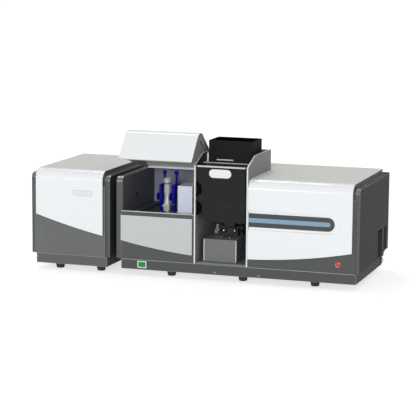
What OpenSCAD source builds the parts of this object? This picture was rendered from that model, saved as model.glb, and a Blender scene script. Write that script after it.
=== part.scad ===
// Atomic absorption spectrophotometer: a main cabinet with a graphite furnace bay, a flame bay and
// an optics housing, beside a separate furnace supply cabinet. Millimetres, +Z up.

/* [Main cabinet] */
// Width over the two side panels
main_w = 1000; // [960:10:1060]
// Depth of the tray-shaped rear panel behind the side panels
rear_t = 20; // [16:1:30]
// Height of the side panels above the base
side_h = 330; // [326:1:345]
// Height of the plinth between the feet and the base
plinth_h = 39.4; // [34:0.2:50]
// Height of a rubber foot
foot_h = 26; // [18:1:32]
// Height of the raised floor at the rear, over the gas connections
rear_step = 18; // [12:1:24]
// Depth of that raised floor
step_d = 57; // [50:1:65]
// Thickness of the sheet metal
sheet = 2; // [1.5:0.25:2.5]
// Radius of the front top corner of a side panel
side_corner_r = 20; // [12:1:28]
// Depth of a side panel's rim
side_t = 16; // [12:1:18]
// Thickness of the hollow left side panel, which holds the light duct
duct_t = 26; // [24:1:30]

/* [White covers] */
// How far a cover stands in front of the side panels
cover_proud = 18; // [14:1:22]
// How far a cover stands above the side panels
cover_rise = 19; // [14:1:24]
// Thickness of the moulded covers
cover_t = 3; // [2:0.5:4]
// Radius of the rounded front top corner
cover_r = 42; // [30:1:50]
// Dark reveal between a side panel and a cover
reveal = 9; // [6:1:12]
// Radius of the long curve along a cover's lower edge
sweep_r = 2300; // [2000:50:2800]
// Lowest height of that curve on the optics cover
sweep_z = 98.8; // [90:1:120]
// Distance from the left side at which the curve is lowest
sweep_x = 500; // [460:10:540]
// Seam between neighbouring covers
seam = 1; // [0.5:0.25:1.5]

/* [Furnace bay] */
// Height of the bay floor
bay_floor_z = 230; // [222:1:236]
// Height of the front ledge
ledge_z = 262; // [256:1:266]
// Depth of the two bays
bay_d = 371; // [360:1:380]
// Height of the light inlay's top edge
inlay_z = 244; // [232:1:246]
// Thickness of the inlay
inlay_t = 4; // [2:0.5:5]
// Height of the lid's lower front edge when closed
lid_low_z = 253; // [250:1:256]
// Radius of the lid's rounded corner
lid_r = 54; // [42:1:60]
// Angle by which the lid stands open
lid_open = 40; // [30:1:45]
// Distance of the lid's hinge line behind the side panels' front
hinge_y = 275.5; // [268:0.5:282]
// Depth of the hinge line below the cover top
hinge_drop = 6.5; // [6.2:0.1:7.5]
// Radius of a lid hinge pin
hinge_pin_r = 2.8; // [2:0.1:3]

/* [Flame bay] */
// Distance from the left side to the left bay plate
flame_x = 334; // [328:1:340]
// Width of the bay between its two plates
flame_w = 210; // [200:1:214]
// Thickness of a bay plate
plate_t = 6; // [4:0.5:8]
// Height of a bay plate's flat top
plate_top_z = 498; // [488:1:510]
// Height at which a plate's front edge starts to slant
plate_slant_z = 461; // [450:1:470]
// Distance of the plate's flat top behind the side panels' front
plate_slant_y = 78; // [70:1:90]
// Rear end of the plates' raised part
plate_rear_y = 297; // [292:1:305]
// Thickness of the bay floor
tray_t = 6.6; // [4:0.2:8]
// Height of the glass door
door_h = 215; // [205:1:218]
// Thickness of the glass
glass_t = 5; // [4:0.5:5]
// Radius of a door hinge pin
door_pin_r = 1.6; // [1.2:0.1:1.8]
// Height of a door hinge clamp
clamp_h = 46; // [40:1:54]
// Reach of a door hinge clamp over the glass
clamp_w = 14; // [12:0.5:20]
// Thickness of a clamp's plates
clamp_t = 2; // [1.5:0.1:2.2]

/* [Chimney] */
// Height of the hood's rim
hood_z = 546; // [535:1:560]
// Width of the rim
hood_w = 182.5; // [170:0.5:190]
// Depth of the rim
hood_d = 127; // [115:1:135]
// Distance from the left bay plate to the rim
hood_gap = 8.5; // [4:0.5:14]
// Front face of the hood
hood_y = 120; // [112:1:126]
// Height above which its walls are upright
hood_kink_z = 489; // [480:1:496]
// How far its sides and its rear draw in below that height
hood_taper = 9.5; // [4:0.5:14]
// How far its front leans out below that height
hood_lean = 32; // [20:1:36]
// Thickness of the hood's sheet
hood_t = 2.5; // [1.5:0.25:3]

/* [Light path] */
// Height of the light path
beam_z = 300; // [296:1:304]
// Distance of the light path behind the side panels' front
beam_y = 165; // [160:1:170]
// Radius of the windows on the light path
window_r = 12; // [9:0.5:14]
// Radius of a lamp
lamp_r = 18.5; // [16:0.5:19]
// Length of a lamp's glass
lamp_l = 110; // [90:2:120]
// Distance of the lamps from the turret's axis
turret_r = 30; // [29.5:0.25:31]
// Lamps in the turret
lamp_n = 4; // [3:1:4]
// Clearance in front of the lamps and behind them
lamp_gap = 11; // [9:0.5:16]

/* [Burner] */
// Travel of the burner each way, up and down
lift_travel = 8; // [5:1:9]
// Travel of the burner each way, front to back
slide_travel = 8; // [5:1:9]
// Length of the burner head
head_l = 110; // [90:2:116]
// Width of the burner head
head_w = 26; // [22:1:30]
// Radius of the mixing chamber
chamber_r = 26; // [22:1:28]
// Width of the burner box
bbox_w = 136; // [124:1:140]
// Height of the burner box
bbox_h = 90; // [80:1:94]
// Depth of the burner box
bbox_d = 150; // [140:1:170]
// Radius of an adjuster's ball
ball_r = 6.5; // [5:0.5:8]

/* [Furnace] */
// Travel of the moving jaw
jaw_travel = 12; // [8:1:14]
// Depth of a jaw blade from front to back
jaw_d = 26; // [22:1:32]
// Radius of the furnace body's upper part
furnace_r = 14; // [12:0.5:15]
// Radius of a clamp knob
fknob_r = 9; // [7:0.5:10]

/* [Optics cover] */
// Centre height of the long recess
stripe_z = 255.5; // [245:0.5:265]
// Half height of the recess
recess_r = 37.25; // [30:0.25:42]
// Distance from the right side to the recess's round end
recess_in = 75; // [60:5:120]
// Half height of the dark band
band_r = 27; // [20:0.5:29]
// Half height of the blue stripe
stripe_r = 8.8; // [6:0.2:12]
// Distance of the power button from the right side
button_in = 82; // [60:2:120]
// Height of the power button
button_z = 100; // [90:1:108]
// Radius of the power button
button_r = 9; // [7:0.5:11]
// Travel of the power button
button_travel = 3; // [2:0.5:4]

/* [Furnace supply] */
// Width of the supply cabinet
supply_w = 340.7; // [320:0.1:360]
// Gap between the two cabinets
cabinet_gap = 28.7; // [20:0.1:40]
// Radius of the curve along its cover's lower edge
supply_sweep_r = 2800; // [2600:50:3200]
// Radius of the transformer ring
toroid_r = 78; // [65:1:88]
// Height of the transformer ring
toroid_h = 76; // [60:2:90]

/* [Fits and fans] */
// Radial clearance of a running fit
run_fit = 0.06; // [0.03:0.01:0.09]
// Gap between sliding pieces
slide_fit = 0.3; // [0.2:0.05:0.5]
// Radius of a fan rotor
fan_r = 36; // [32:0.5:37]
// Half width of a fan frame
fan_half = 40; // [40:1:44]
// Thickness of a fan frame
fan_t = 25; // [20:1:30]
// Blades of a fan
blade_n = 7; // [5:1:9]

/* [Hidden] */
$fn = 48;
eps = 0.01;

// Heights
base_z = foot_h + plinth_h;
pan_z = base_z + sheet;
rear_floor_z = base_z + rear_step;
side_top = base_z + side_h;
cover_top = side_top + cover_rise;
cover_under = cover_top - cover_t;

// Depths: the lamps stand behind the bays, and the base steps up over the gas connections
side_d = bay_d + sheet + 2 * (turret_r + lamp_r + lamp_gap);
plinth_d = side_d - step_d;
body_d = side_d + rear_t;

// Front planes
skirt_x0 = 23.5;
cover_y = -cover_proud;
front_y = -8;
front_t = 3;

// Optics side
optics_x0 = flame_x + flame_w + 2 * plate_t;
cover_x1 = main_w - side_t - reveal;
deck_x0 = duct_t - seam;
flame_in = flame_x + plate_t;
flame_out = flame_in + flame_w;
flame_mid = flame_in + flame_w / 2;

// Lid hinge and the lid's reach in front of the cabinet when open
hinge_z = cover_top - hinge_drop;
lid_dy = hinge_y - cover_y;
lid_dz = hinge_z - lid_low_z;
lid_front = hinge_y - lid_dy * cos(lid_open) - lid_dz * sin(lid_open);
ear_r = 10;
ear_t = 6;
hinge_pin_l = 10;
lid_rear_y = hinge_y + hinge_drop;
deck_y0 = hinge_y + sqrt(2) * hinge_drop + 1;
lid_x0 = duct_t + 0.6;
lid_x1 = flame_x - 0.6;
side_plate_t = 3;
side_plate_inset = 1;

// Door
door_axis_x = flame_in + 5.4;
door_y = -8;
door_x0 = door_axis_x + 4;
door_x1 = flame_out - 7;
door_top = plate_slant_z - 8;
door_bottom = door_top - door_h;
header_z = door_top + 2;
bar_h = 6;
bar_in = 6;
clamp_top_z = door_top - 64;
clamp_pitch = 75.5;
door_knuckle_r = 3.6;
door_lug_r = 3.4;
door_lug_h = 5;
clamp_corner_r = 12;

// Chimney hood
hood_x0 = flame_in + hood_gap;
hood_x1 = hood_x0 + hood_w;
hood_y1 = hood_y + hood_d;
hood_low_z = header_z - 4;
step_z = header_z + bar_h;
step_y = plate_slant_y - 9;
riser_y = hood_y + 5;

// Burner
burner_x = flame_mid - 5;
burner_y = beam_y;
bbox_x0 = flame_in + 23;
bbox_y0 = 20;
bbox_z0 = pan_z + tray_t;
bbox_top = bbox_z0 + bbox_h;
rail_w = 6;
rail_h = 5;
carriage_z = bbox_top + slide_fit;
carriage_t = 14;
carriage_w = 104;
carriage_front = 16;
carriage_back = 12;
tongue_x0 = burner_x - 28;
tongue_x1 = burner_x + 40;
tongue_y = bbox_y0 + 78;
rail_y0 = tongue_y - 30 - slide_travel;
rail_dx = 18;
post_r = 5;
post_dx = 40;
post_y = bbox_y0 + bbox_d - 24;
post_h = lift_travel + 44;
lift_z = carriage_z + carriage_t + lift_travel + 3;
lift_t = 12;
lift_half = 12;
saddle_w = 44;
chamber_z = lift_z + lift_t + chamber_r + 4;
socket_r = 15;
socket_top = chamber_z + chamber_r + 8;
head_r = 10;
head_top = beam_z - 12;
head_z = socket_top + slide_fit;
lip_h = 4;
slot_w = 0.8;
cap_l = 10;
nebuliser_r = 8;
nebuliser_l = 30;
drain_r = 4;
drain_dx = 19;
chamber_front = 45;
chamber_back = 70;
knob_z = carriage_z + carriage_t + 12;
knob_y = bbox_y0 + 70;
traverse_x = burner_x - 15;
lift_x = burner_x + 30;
knob_shaft_r = 3;
bracket_y = bbox_y0 + 84;
bracket_t = 6;

// Furnace
furnace_x = 158;
furnace_y = beam_y;
seat_z = bay_floor_z + sheet;
base_plate_t = 6;
waist_r = furnace_r - 3;
waist_x0 = furnace_x - waist_r;
waist_x1 = furnace_x + waist_r;
waist_z0 = beam_z - 30;
waist_z1 = beam_z + 18;
neck_z1 = beam_z + 50;
contact_r = 6;
light_r = 4.5;
left_blade_x0 = waist_x0 - 20;
left_blade_x1 = waist_x0 - 9;
right_blade_x0 = waist_x1 + 12;
right_blade_x1 = waist_x1 + 25;
blade_z0 = beam_z - 27;
blade_z1 = beam_z + 51;
disc_r = 16;
disc_w = 3;
lug_y = furnace_y + jaw_d / 2;
lug_w = 14;
lug_h = 16;
ring_l = 7;
flare_h = 20;
fknob_y = lug_y + lug_w / 2;
fknob_x_left = left_blade_x1 + 1;
fknob_x_right = right_blade_x0 + 9;
fknob_stem_r = 4;
fknob_z = beam_z + 90;
fknob_h = 14;
groove_r = 2;
slide_rail_w = 8;
slide_rail_h = 4;
rail_x0 = furnace_x + 24;
rail_x1 = rail_x0 + 28 + jaw_travel;
column_x = right_blade_x0 + 9;
column_r = 4;
saddle_half = 10;
saddle_h = 8;
stub_r = 5;
jaw_post_r = 7;
cap_gap = 2;
cap_h = 5;

// Pale box beside the furnace
pbox_in = 50;
pbox_w = 62;
pbox_d = 90;
pbox_y0 = furnace_y - 57;
pbox_top = beam_z + 56;
pbox_x0 = flame_x - pbox_in - pbox_w;
stub_l = pbox_x0 - right_blade_x1 - jaw_travel - 2;

// Lamp turret
turret_y = (bay_d + sheet + side_d) / 2;
turret_z = beam_z - turret_r;
turret_x = 236;
disc_t = 6;
lamp_x1 = turret_x - disc_t;
spindle_r = 7;
shaft_r = 3;
ring_t = 4;
ring_in = 20;
lamp_cap_l = 26;
lamp_neck_l = 40;
turret_disc_r = turret_r + lamp_r - 2;
bracket_gap = 8;
bracket_wall = 4;
bracket_rise = 30;
motor_half = 21;
motor_l = 34;

// Optics housing
bench_z = 205;
bench_t = 12;
bench_x0 = optics_x0 + 14;
bench_x1 = cover_x1 - 20;
bench_y0 = 40;
bench_y1 = plinth_d - 20;
bench_foot_in = 20;
bench_foot_r = 9;
lens_r = 16;
lens_t = 8;
lens_x = bench_x0 + 6;
case_x0 = optics_x0 + 84;
case_x1 = bench_x1 - 25;
case_y0 = bench_y0 + 20;
case_y1 = case_y0 + 260;
case_h = 130;
case_t = 4;
slit_r = 8;
mirror_half = 24;
mirror_t = 10;
mirror_in = 60;
grating_pin_r = 5;
grating_pin_h = 18;
grating_disc_r = 22;
grating_disc_t = 8;
grating_half = 26;
grating_block_d = 20;
grating_in = 50;
grating_x = case_x1 - grating_in;
grating_back = 85;
grating_y = case_y1 - grating_back;
detector_w = 44;
detector_half = 26;
detector_in = 50;
detector_y = case_y1 - detector_in;

// Circuit board and power supply
board_x0 = optics_x0 + 44;
board_x1 = cover_x1 - 45;
board_y0 = 80;
board_y1 = 280;
board_t = 1.6;
board_z = pan_z + 8;
board_top = board_z + board_t;
pillar_in = 10;
pillar_r = 3;
chip_pitch = 60;
chip_w = 32;
chip_t = 3.4;
can_r = 8;
can_h = 22.4;
psu_w = 130;
psu_d = 110;
psu_h = 60;

// Gas block
gas_y0 = bay_d + sheet + 6;
gas_d = 44;
gas_in = 20;
gas_h = 40;
valve_in = 60;
valve_w = 32;
valve_h = 52;
valve_inset = 4;

// Vents in the right side panel
vent_t = 1.5;
vent_y = [plinth_d - 109, plinth_d + 3];
vent_d = [78, 50];
vent_z = [base_z + 5, rear_floor_z + 6];
vent_top = base_z + 118;

// Fans and connections on the rear
fan_x = main_w - 210;
fan_z = 250;
supply_x0 = -cabinet_gap - supply_w;
supply_x1 = -cabinet_gap;
supply_mid = (supply_x0 + supply_x1) / 2;
supply_fan_z = 200;
inlet_x = main_w - 100;
inlet_z = 130;
inlet_w = 48;
inlet_h = 28;
inlet_d = 24;
socket_w = 24;
socket_h = 16;
socket_d = 18;
pin_w = 2;
pin_h = 4;
pin_l = 15;
pin_pitch = 7;
fitting_x = main_w - 20;
fitting_z = foot_h + 24;
fitting_pitch = 36;
pipe_r = 6;
pipe_l = 16;
nut_r = 10;
nut_l = 10;
spigot_r = 5;
spigot_l = 20;
spigot_bore_r = 1.8;
supply_lamp_x = supply_x0 + 46.7;
supply_lamp_z = 170.6;
lamp_pitch = 15.3;
supply_lamp_r = 2.5;
supply_lamp_n = 5;
foot_r = 15.5;
foot_top_r = 21;
main_foot_x = [219, 519, main_w - 185.5];
supply_foot_x = [supply_x0 + 103.4, supply_x1 - 57.3];
foot_y = [50, plinth_d - 50];
button_x = main_w - button_in;
recess_x = main_w - recess_in;

// Transformer
toroid_y = 200;
toroid_core = 44;
toroid_edge = 7;
toroid_bolt_r = 5;
toroid_plate_t = 4;

// Fan details
hub_r = 14;
hub_t = 4;
cup_r = 13;
arm_w = 4;
arm_t = 2.5;
blade_t = 1.6;
blade_tilt = 32;

// The origin is on the floor, under the middle of the whole object
origin_x = (supply_x0 + main_w) / 2;
origin_y = (lid_front + body_d) / 2;

module place() {
    translate([-origin_x, -origin_y, 0]) children();
}

// A box given by its low and high corners
module box(x0, x1, y0, y1, z0, z1) {
    translate([x0, y0, z0]) cube([x1 - x0, y1 - y0, z1 - z0]);
}

// An outline drawn in Y and Z, extruded along X
module along_x(x0, x1) {
    translate([x0, 0, 0]) rotate([90, 0, 90]) linear_extrude(x1 - x0) children();
}

// An outline drawn in X and Z, extruded along Y
module along_y(y0, y1) {
    translate([0, y1, 0]) rotate([90, 0, 0]) linear_extrude(y1 - y0) children();
}

module x_rod(r, x0, x1, y, z) {
    translate([x0, y, z]) rotate([0, 90, 0]) cylinder(r = r, h = x1 - x0);
}

module y_rod(r, x, y0, y1, z) {
    translate([x, y0, z]) rotate([-90, 0, 0]) cylinder(r = r, h = y1 - y0);
}

module z_rod(r, x, y, z0, z1) {
    translate([x, y, z0]) cylinder(r = r, h = z1 - z0);
}

module rect(x0, x1, z0, z1) {
    translate([x0, z0]) square([x1 - x0, z1 - z0]);
}

// Side outline of a cabinet, in Y and Z, with the raised floor at the rear
module side_outline(inset) {
    difference() {
        union() {
            rect(inset, plinth_d - inset, base_z + inset, side_top - inset);
            rect(inset, side_d - inset, rear_floor_z + inset, side_top - inset);
        }
        difference() {
            rect(-1, side_corner_r, side_top - side_corner_r, side_top + 1);
            translate([side_corner_r, side_top - side_corner_r]) circle(r = side_corner_r - inset);
        }
    }
}

// Outline of a white cover, in Y and Z, from a lower front height to a rear end
module cover_outline(low_z, rear_y, inset, r = cover_r) {
    difference() {
        rect(cover_y + inset, rear_y, low_z, cover_top - inset);
        difference() {
            rect(cover_y - 1, cover_y + r, cover_top - r, cover_top + 1);
            translate([cover_y + r, cover_top - r]) circle(r = r - inset);
        }
    }
}

// Everything above the long curve of a cover's lower edge, in X and Z
module above_sweep(x_low, z_low, r, inset) {
    intersection() {
        translate([x_low, z_low + r]) circle(r = r - inset, $fn = 720);
        rect(x_low - 900, x_low + 600, z_low - 1, cover_top + 10);
    }
}

// A long slot shape with a round right end, in X and Z
module bullet(x0, x1, z, r) {
    rect(x0, x1 - r, z - r, z + r);
    translate([x1 - r, z]) circle(r = r);
}

// A white cover: a bent skin, end flanges and a lip along the curved edge
module cover_shell(x0, x1, low_z, x_low, z_low, r) {
    intersection() {
        difference() {
            along_x(x0, x1) cover_outline(low_z, side_d, 0);
            along_x(x0 + cover_t, x1 - cover_t) cover_outline(low_z - 1, side_d + 1, cover_t);
            along_x(x0 - 1, x1 + 1) {
                rect(-eps, side_d + 1, low_z - 1, side_top);
                rect(front_y, side_d + 1, low_z - 1, side_top - cover_r + seam);
            }
        }
        union() {
            along_y(cover_y - 1, 0) above_sweep(x_low, z_low, r, 0);
            box(x0 - 1, x1 + 1, -eps, side_d + 1, side_top - seam, cover_top + seam);
        }
    }
    along_y(cover_y + cover_t - eps, front_y) {
        difference() {
            intersection() {
                above_sweep(x_low, z_low, r, 0);
                rect(x0, x1, low_z, low_z + 140);
            }
            above_sweep(x_low, z_low, r, cover_t);
        }
    }
}

// A stepped base: floor pan, plinth skirt and the raised floor at the rear
module base_pan(x0, x1, skirt0, skirt1) {
    box(x0, x1, 0, plinth_d, base_z, pan_z);
    box(x0, x1, plinth_d - sheet, plinth_d, base_z, rear_floor_z);
    box(x0, x1, plinth_d - sheet, side_d, rear_floor_z, rear_floor_z + sheet);
    difference() {
        box(skirt0, skirt1, front_y, plinth_d, foot_h, base_z);
        box(skirt0 + sheet, skirt1 - sheet, front_y + sheet, plinth_d - sheet, foot_h + sheet, base_z + 1);
    }
}

module base_main() {
    color("dimgray") place() base_pan(duct_t, main_w - side_t, skirt_x0, main_w - 9);
}

module side_panel_left() {
    color([0.27, 0.27, 0.28]) place() difference() {
        along_x(0, duct_t) side_outline(0);
        along_x(sheet, duct_t - sheet) side_outline(sheet);
        for (y = [beam_y, turret_y]) {
            x_rod(window_r, duct_t - sheet - 1, duct_t + 1, y, beam_z);
        }
    }
}

// A side panel pressed as a tray, open towards the inside of the cabinet
module tray_panel(x_out, x_in) {
    x0 = min(x_out, x_in);
    x1 = max(x_out, x_in);
    skin = x_out > x_in ? -sheet : sheet;
    open0 = x_out > x_in ? x_in - 1 : x_out + skin;
    open1 = x_out > x_in ? x_out + skin : x_in + 1;
    difference() {
        along_x(x0, x1) side_outline(0);
        along_x(open0, open1) side_outline(sheet);
    }
}

// Two vents low at the rear of the right side panel, each a cut-out with a louvred box behind it
module side_panel_right() {
    color([0.27, 0.27, 0.28]) place() {
        difference() {
            tray_panel(main_w, main_w - side_t);
            for (i = [0, 1]) {
                vent_space(i, main_w - sheet - 1, main_w + 1, 0);
            }
        }
        for (i = [0, 1]) {
            difference() {
                vent_space(i, main_w - side_t, main_w - sheet, vent_t);
                vent_space(i, main_w - side_t + vent_t, main_w, 0);
                for (z = [vent_z[i] + 6 : 9 : vent_top - 8]) {
                    box(main_w - side_t - 1, main_w - side_t + vent_t + 1, vent_y[i] + 6,
                        vent_y[i] + vent_d[i] - 6, z, z + 3.6);
                }
            }
        }
    }
}

// The space of one vent, grown by a wall
module vent_space(i, x0, x1, wall) {
    box(x0, x1, vent_y[i] - wall, vent_y[i] + vent_d[i] + wall, vent_z[i] - wall, vent_top + wall);
}

// A rear panel pressed as a tray, with a fan grille
module rear_tray(x0, x1, fan_at_x, fan_at_z) {
    difference() {
        box(x0, x1, side_d, body_d, rear_floor_z, side_top + 3);
        box(x0 + sheet, x1 - sheet, side_d - 1, body_d - sheet, rear_floor_z + sheet, side_top + 3 - sheet);
        for (r = [10 : 8 : fan_r]) {
            fan_slots(fan_at_x, fan_at_z, r);
        }
    }
}

// One ring of four curved slots in front of a fan
module fan_slots(x, z, r) {
    difference() {
        y_rod(r + 4, x, body_d - sheet - 1, body_d + 1, z);
        y_rod(r, x, body_d - sheet - 2, body_d + 2, z);
        for (a = [45, 135]) {
            translate([x, body_d, z]) rotate([0, a, 0]) cube([4, 3 * rear_t, 2 * fan_half], center = true);
        }
    }
}

module rear_panel_main() {
    color([0.3, 0.3, 0.31]) place() difference() {
        rear_tray(0, main_w, fan_x, fan_z);
        box(inlet_x - inlet_w / 2, inlet_x + inlet_w / 2, body_d - sheet - 1, body_d + 1,
            inlet_z - inlet_h / 2, inlet_z + inlet_h / 2);
    }
}

// A strip that closes the reveal beside a cover, in front and on top
module reveal_strip(x0, x1) {
    along_x(x0, x1) difference() {
        side_outline(0);
        side_outline(sheet);
        rect(-1, side_d + 1, base_z - 1, pan_z);
        rect(sheet, side_d + 1, base_z - 1, side_top - sheet - side_corner_r);
    }
}

// The grey front panels below the furnace bay and below the optics cover
module lower_fronts() {
    color("gray") place() {
        box(skirt_x0, flame_x, front_y, front_y + front_t, base_z, ledge_z);
        box(duct_t, flame_x, front_y + front_t, 6, ledge_z - front_t, ledge_z);
        box(duct_t, flame_x, 0, sheet, pan_z, ledge_z - front_t);
        difference() {
            union() {
                box(optics_x0, main_w - side_t, front_y, front_y + front_t, base_z, side_top - cover_r);
                box(cover_x1 + 1, main_w - side_t, front_y + front_t, 0, base_z, side_top - cover_r);
            }
            y_rod(button_r + slide_fit, button_x, front_y - 1, front_y + front_t + 1, button_z);
        }
        reveal_strip(cover_x1, main_w - side_t);
    }
}

module fascia_inlay() {
    color([0.78, 0.79, 0.8]) place() intersection() {
        box(duct_t - 4, flame_x - 10, front_y - inlay_t, front_y, base_z, inlay_z);
        along_y(front_y - inlay_t, front_y) above_sweep(sweep_x, sweep_z - 7.5, sweep_r, 0);
    }
}

// Floor of the furnace bay, with a raised rib beside the left wall
module furnace_bay_floor() {
    color("slategray") place() {
        box(duct_t, flame_x, sheet, bay_d, bay_floor_z, seat_z);
        box(duct_t, flame_x, bay_d - sheet, bay_d, pan_z, bay_floor_z);
        box(duct_t + 6, duct_t + 34, 40, bay_d, seat_z, seat_z + 14);
    }
}

module bay_back_wall() {
    color([0.35, 0.35, 0.4]) place() along_y(bay_d, bay_d + sheet) {
        rect(duct_t, flame_out + plate_t, pan_z, side_top);
        rect(duct_t + cover_t + 1, flame_out, side_top - eps, cover_under);
    }
}

// The fixed cover behind the two bays
module rear_deck_cover() {
    x1 = optics_x0 - seam;
    y1 = plate_rear_y + seam;
    color([0.93, 0.94, 0.95]) place() {
        box(deck_x0, x1, y1, side_d, cover_under, cover_top);
        box(deck_x0, flame_x - seam, deck_y0, y1, cover_under, cover_top);
        box(duct_t, flame_x - seam, deck_y0, deck_y0 + cover_t, side_top + 2, cover_under);
        box(deck_x0, deck_x0 + cover_t, deck_y0, side_d, side_top, cover_under);
        box(x1 - cover_t, x1, bay_d + sheet + seam, side_d, side_top, cover_under);
        box(deck_x0, x1, side_d - cover_t, side_d, side_top + 3, cover_under);
    }
}

module optics_cover() {
    color([0.93, 0.94, 0.95]) place() {
        difference() {
            cover_shell(optics_x0, cover_x1, base_z, sweep_x, sweep_z, sweep_r);
            along_y(cover_y - 1, cover_y + cover_t + 1)
                bullet(optics_x0 + cover_t, recess_x, stripe_z, recess_r);
        }
        along_y(cover_y + cover_t, front_y - 1) difference() {
            bullet(optics_x0 + cover_t, recess_x + cover_t, stripe_z, recess_r + cover_t);
            bullet(optics_x0, recess_x, stripe_z, recess_r);
        }
        along_y(front_y - 3, front_y - 1)
            bullet(optics_x0 + cover_t, recess_x + 1, stripe_z, recess_r + 1);
        box(optics_x0, cover_x1, side_d - cover_t, side_d, side_top + 3, cover_under);
    }
}

// The dark band in the recess and the blue stripe on it
module stripe_band() {
    color([0.34, 0.34, 0.35]) place() along_y(front_y - 5.5, front_y - 3)
        bullet(optics_x0 + cover_t, recess_x - 21, stripe_z, band_r);
    color([0.49, 0.66, 0.8]) place() along_y(front_y - 6.5, front_y - 5.5)
        bullet(optics_x0 + cover_t, recess_x - 37, stripe_z, stripe_r);
}

// Outline of a bay plate, in Y and Z
module plate_outline() {
    polygon([[cover_y, pan_z], [cover_y, plate_slant_z], [plate_slant_y, plate_top_z],
             [plate_rear_y, plate_top_z], [plate_rear_y, cover_under], [bay_d, cover_under],
             [bay_d, pan_z]]);
}

module bay_plate(x0) {
    difference() {
        along_x(x0, x0 + plate_t) plate_outline();
        x_rod(window_r, x0 - 1, x0 + plate_t + 1, beam_y, beam_z);
    }
}

module bay_plate_left() {
    color([0.55, 0.56, 0.57]) place() bay_plate(flame_x);
}

module bay_plate_right() {
    color([0.55, 0.56, 0.57]) place() bay_plate(flame_out);
}

module flame_bay_floor() {
    color([0.45, 0.46, 0.43]) place() {
        box(flame_in, flame_out, front_y, bay_d, pan_z, pan_z + tray_t);
        box(flame_in, flame_out, front_y - sheet, front_y, base_z, pan_z + tray_t);
    }
}

// Outline of the hood in X and Z, or in Y and Z: upright above the kink, drawn in or out below it
module hood_outline(a0, a1, draw0, draw1, inset) {
    polygon([[a0 + draw0 + inset, hood_low_z - inset], [a1 - draw1 - inset, hood_low_z - inset],
             [a1 - inset, hood_kink_z], [a1 - inset, hood_z + inset],
             [a0 + inset, hood_z + inset], [a0 + inset, hood_kink_z]]);
}

module hood_solid(inset) {
    intersection() {
        along_y(hood_y - hood_lean - 1, hood_y1 + 1)
            hood_outline(hood_x0, hood_x1, hood_taper, hood_taper, inset);
        along_x(hood_x0 - 1, hood_x1 + 1)
            hood_outline(hood_y, hood_y1, -hood_lean, hood_taper, inset);
    }
}

module chimney_hood() {
    color([0.13, 0.13, 0.13]) place() difference() {
        hood_solid(0);
        hood_solid(hood_t);
    }
}

// Roof of the flame bay: a low step, a riser and a deck, cut out around the hood
module flame_bay_top() {
    riser_y1 = riser_y + cover_t;
    deck_z = plate_top_z - 2;
    color([0.9, 0.9, 0.86]) place() difference() {
        union() {
            box(flame_in, flame_out, step_y, riser_y1, step_z - cover_t, step_z);
            box(flame_in, flame_out, riser_y, riser_y1, step_z, deck_z);
            box(flame_in, flame_out, riser_y1, plate_rear_y, deck_z - cover_t, deck_z);
            box(flame_in, flame_out, plate_rear_y - cover_t, plate_rear_y, cover_under, deck_z - cover_t);
        }
        hood_solid(-slide_fit);
    }
}

// The black beam over the door, with its bright front bar
module door_header() {
    color([0.1, 0.1, 0.1]) place()
        box(flame_in, flame_out, front_y, step_y, header_z, step_z);
    color("silver") place()
        box(flame_in + bar_in, flame_out - bar_in, cover_y, front_y, header_z, step_z);
}

// The grey box that carries the burner, with two rails and a hose bracket on its top
module burner_box() {
    color("gray") place() {
        difference() {
            box(bbox_x0, bbox_x0 + bbox_w, bbox_y0, bbox_y0 + bbox_d, bbox_z0, bbox_top);
            box(bbox_x0 + sheet, bbox_x0 + bbox_w - sheet, bbox_y0 + sheet, bbox_y0 + bbox_d - sheet,
                bbox_z0 - 1, bbox_top - 4);
        }
        for (s = [-1, 1]) {
            translate([burner_x + s * rail_dx - rail_w / 2, rail_y0, bbox_top])
                cube([rail_w, bbox_y0 + bbox_d - 6 - rail_y0, rail_h]);
        }
        box(bbox_x0 + 6, bbox_x0 + 19, bbox_y0 + bbox_d - 10, bbox_y0 + bbox_d - 5, bbox_top, bbox_top + 37);
        box(bbox_x0, bbox_x0 + 6, bbox_y0 + bbox_d - 10, bbox_y0 + bbox_d - 5, bbox_top, bbox_top + 16);
    }
}

// Pins of the lid and of the door, with the ear and the lugs that hold them
module hinge_pins() {
    color("silver") place() {
        x_rod(hinge_pin_r, duct_t, duct_t + hinge_pin_l, hinge_y, hinge_z);
        x_rod(hinge_pin_r, flame_x - hinge_pin_l, flame_x, hinge_y, hinge_z);
        x_rod(ear_r, duct_t - ear_t, duct_t, hinge_y, hinge_z);
        box(duct_t - ear_t, duct_t, hinge_y - ear_r, hinge_y, side_top, hinge_z);
        for (i = [0, 1]) {
            top = clamp_top_z - i * clamp_pitch;
            z_rod(door_pin_r, door_axis_x, door_y, top - clamp_h - slide_fit, top + slide_fit);
            door_lug(top + slide_fit);
            door_lug(top - clamp_h - slide_fit - door_lug_h);
        }
    }
}

// A lug on the bay plate that holds one end of a door pin
module door_lug(z) {
    z_rod(door_lug_r, door_axis_x, door_y, z, z + door_lug_h);
    box(flame_in, door_axis_x, door_y - door_lug_r, door_y + door_lug_r, z, z + door_lug_h);
}

module optical_bench() {
    color("silver") place() {
        box(bench_x0, bench_x1, bench_y0, bench_y1, bench_z, bench_z + bench_t);
        for (x = [bench_x0 + bench_foot_in, bench_x1 - bench_foot_in],
             y = [bench_y0 + bench_foot_in, bench_y1 - bench_foot_in]) {
            z_rod(bench_foot_r, x, y, pan_z, bench_z);
        }
        box(lens_x, lens_x + lens_t, beam_y - lens_r - 6, beam_y + lens_r + 6, bench_z + bench_t,
            beam_z - lens_r);
    }
}

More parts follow.
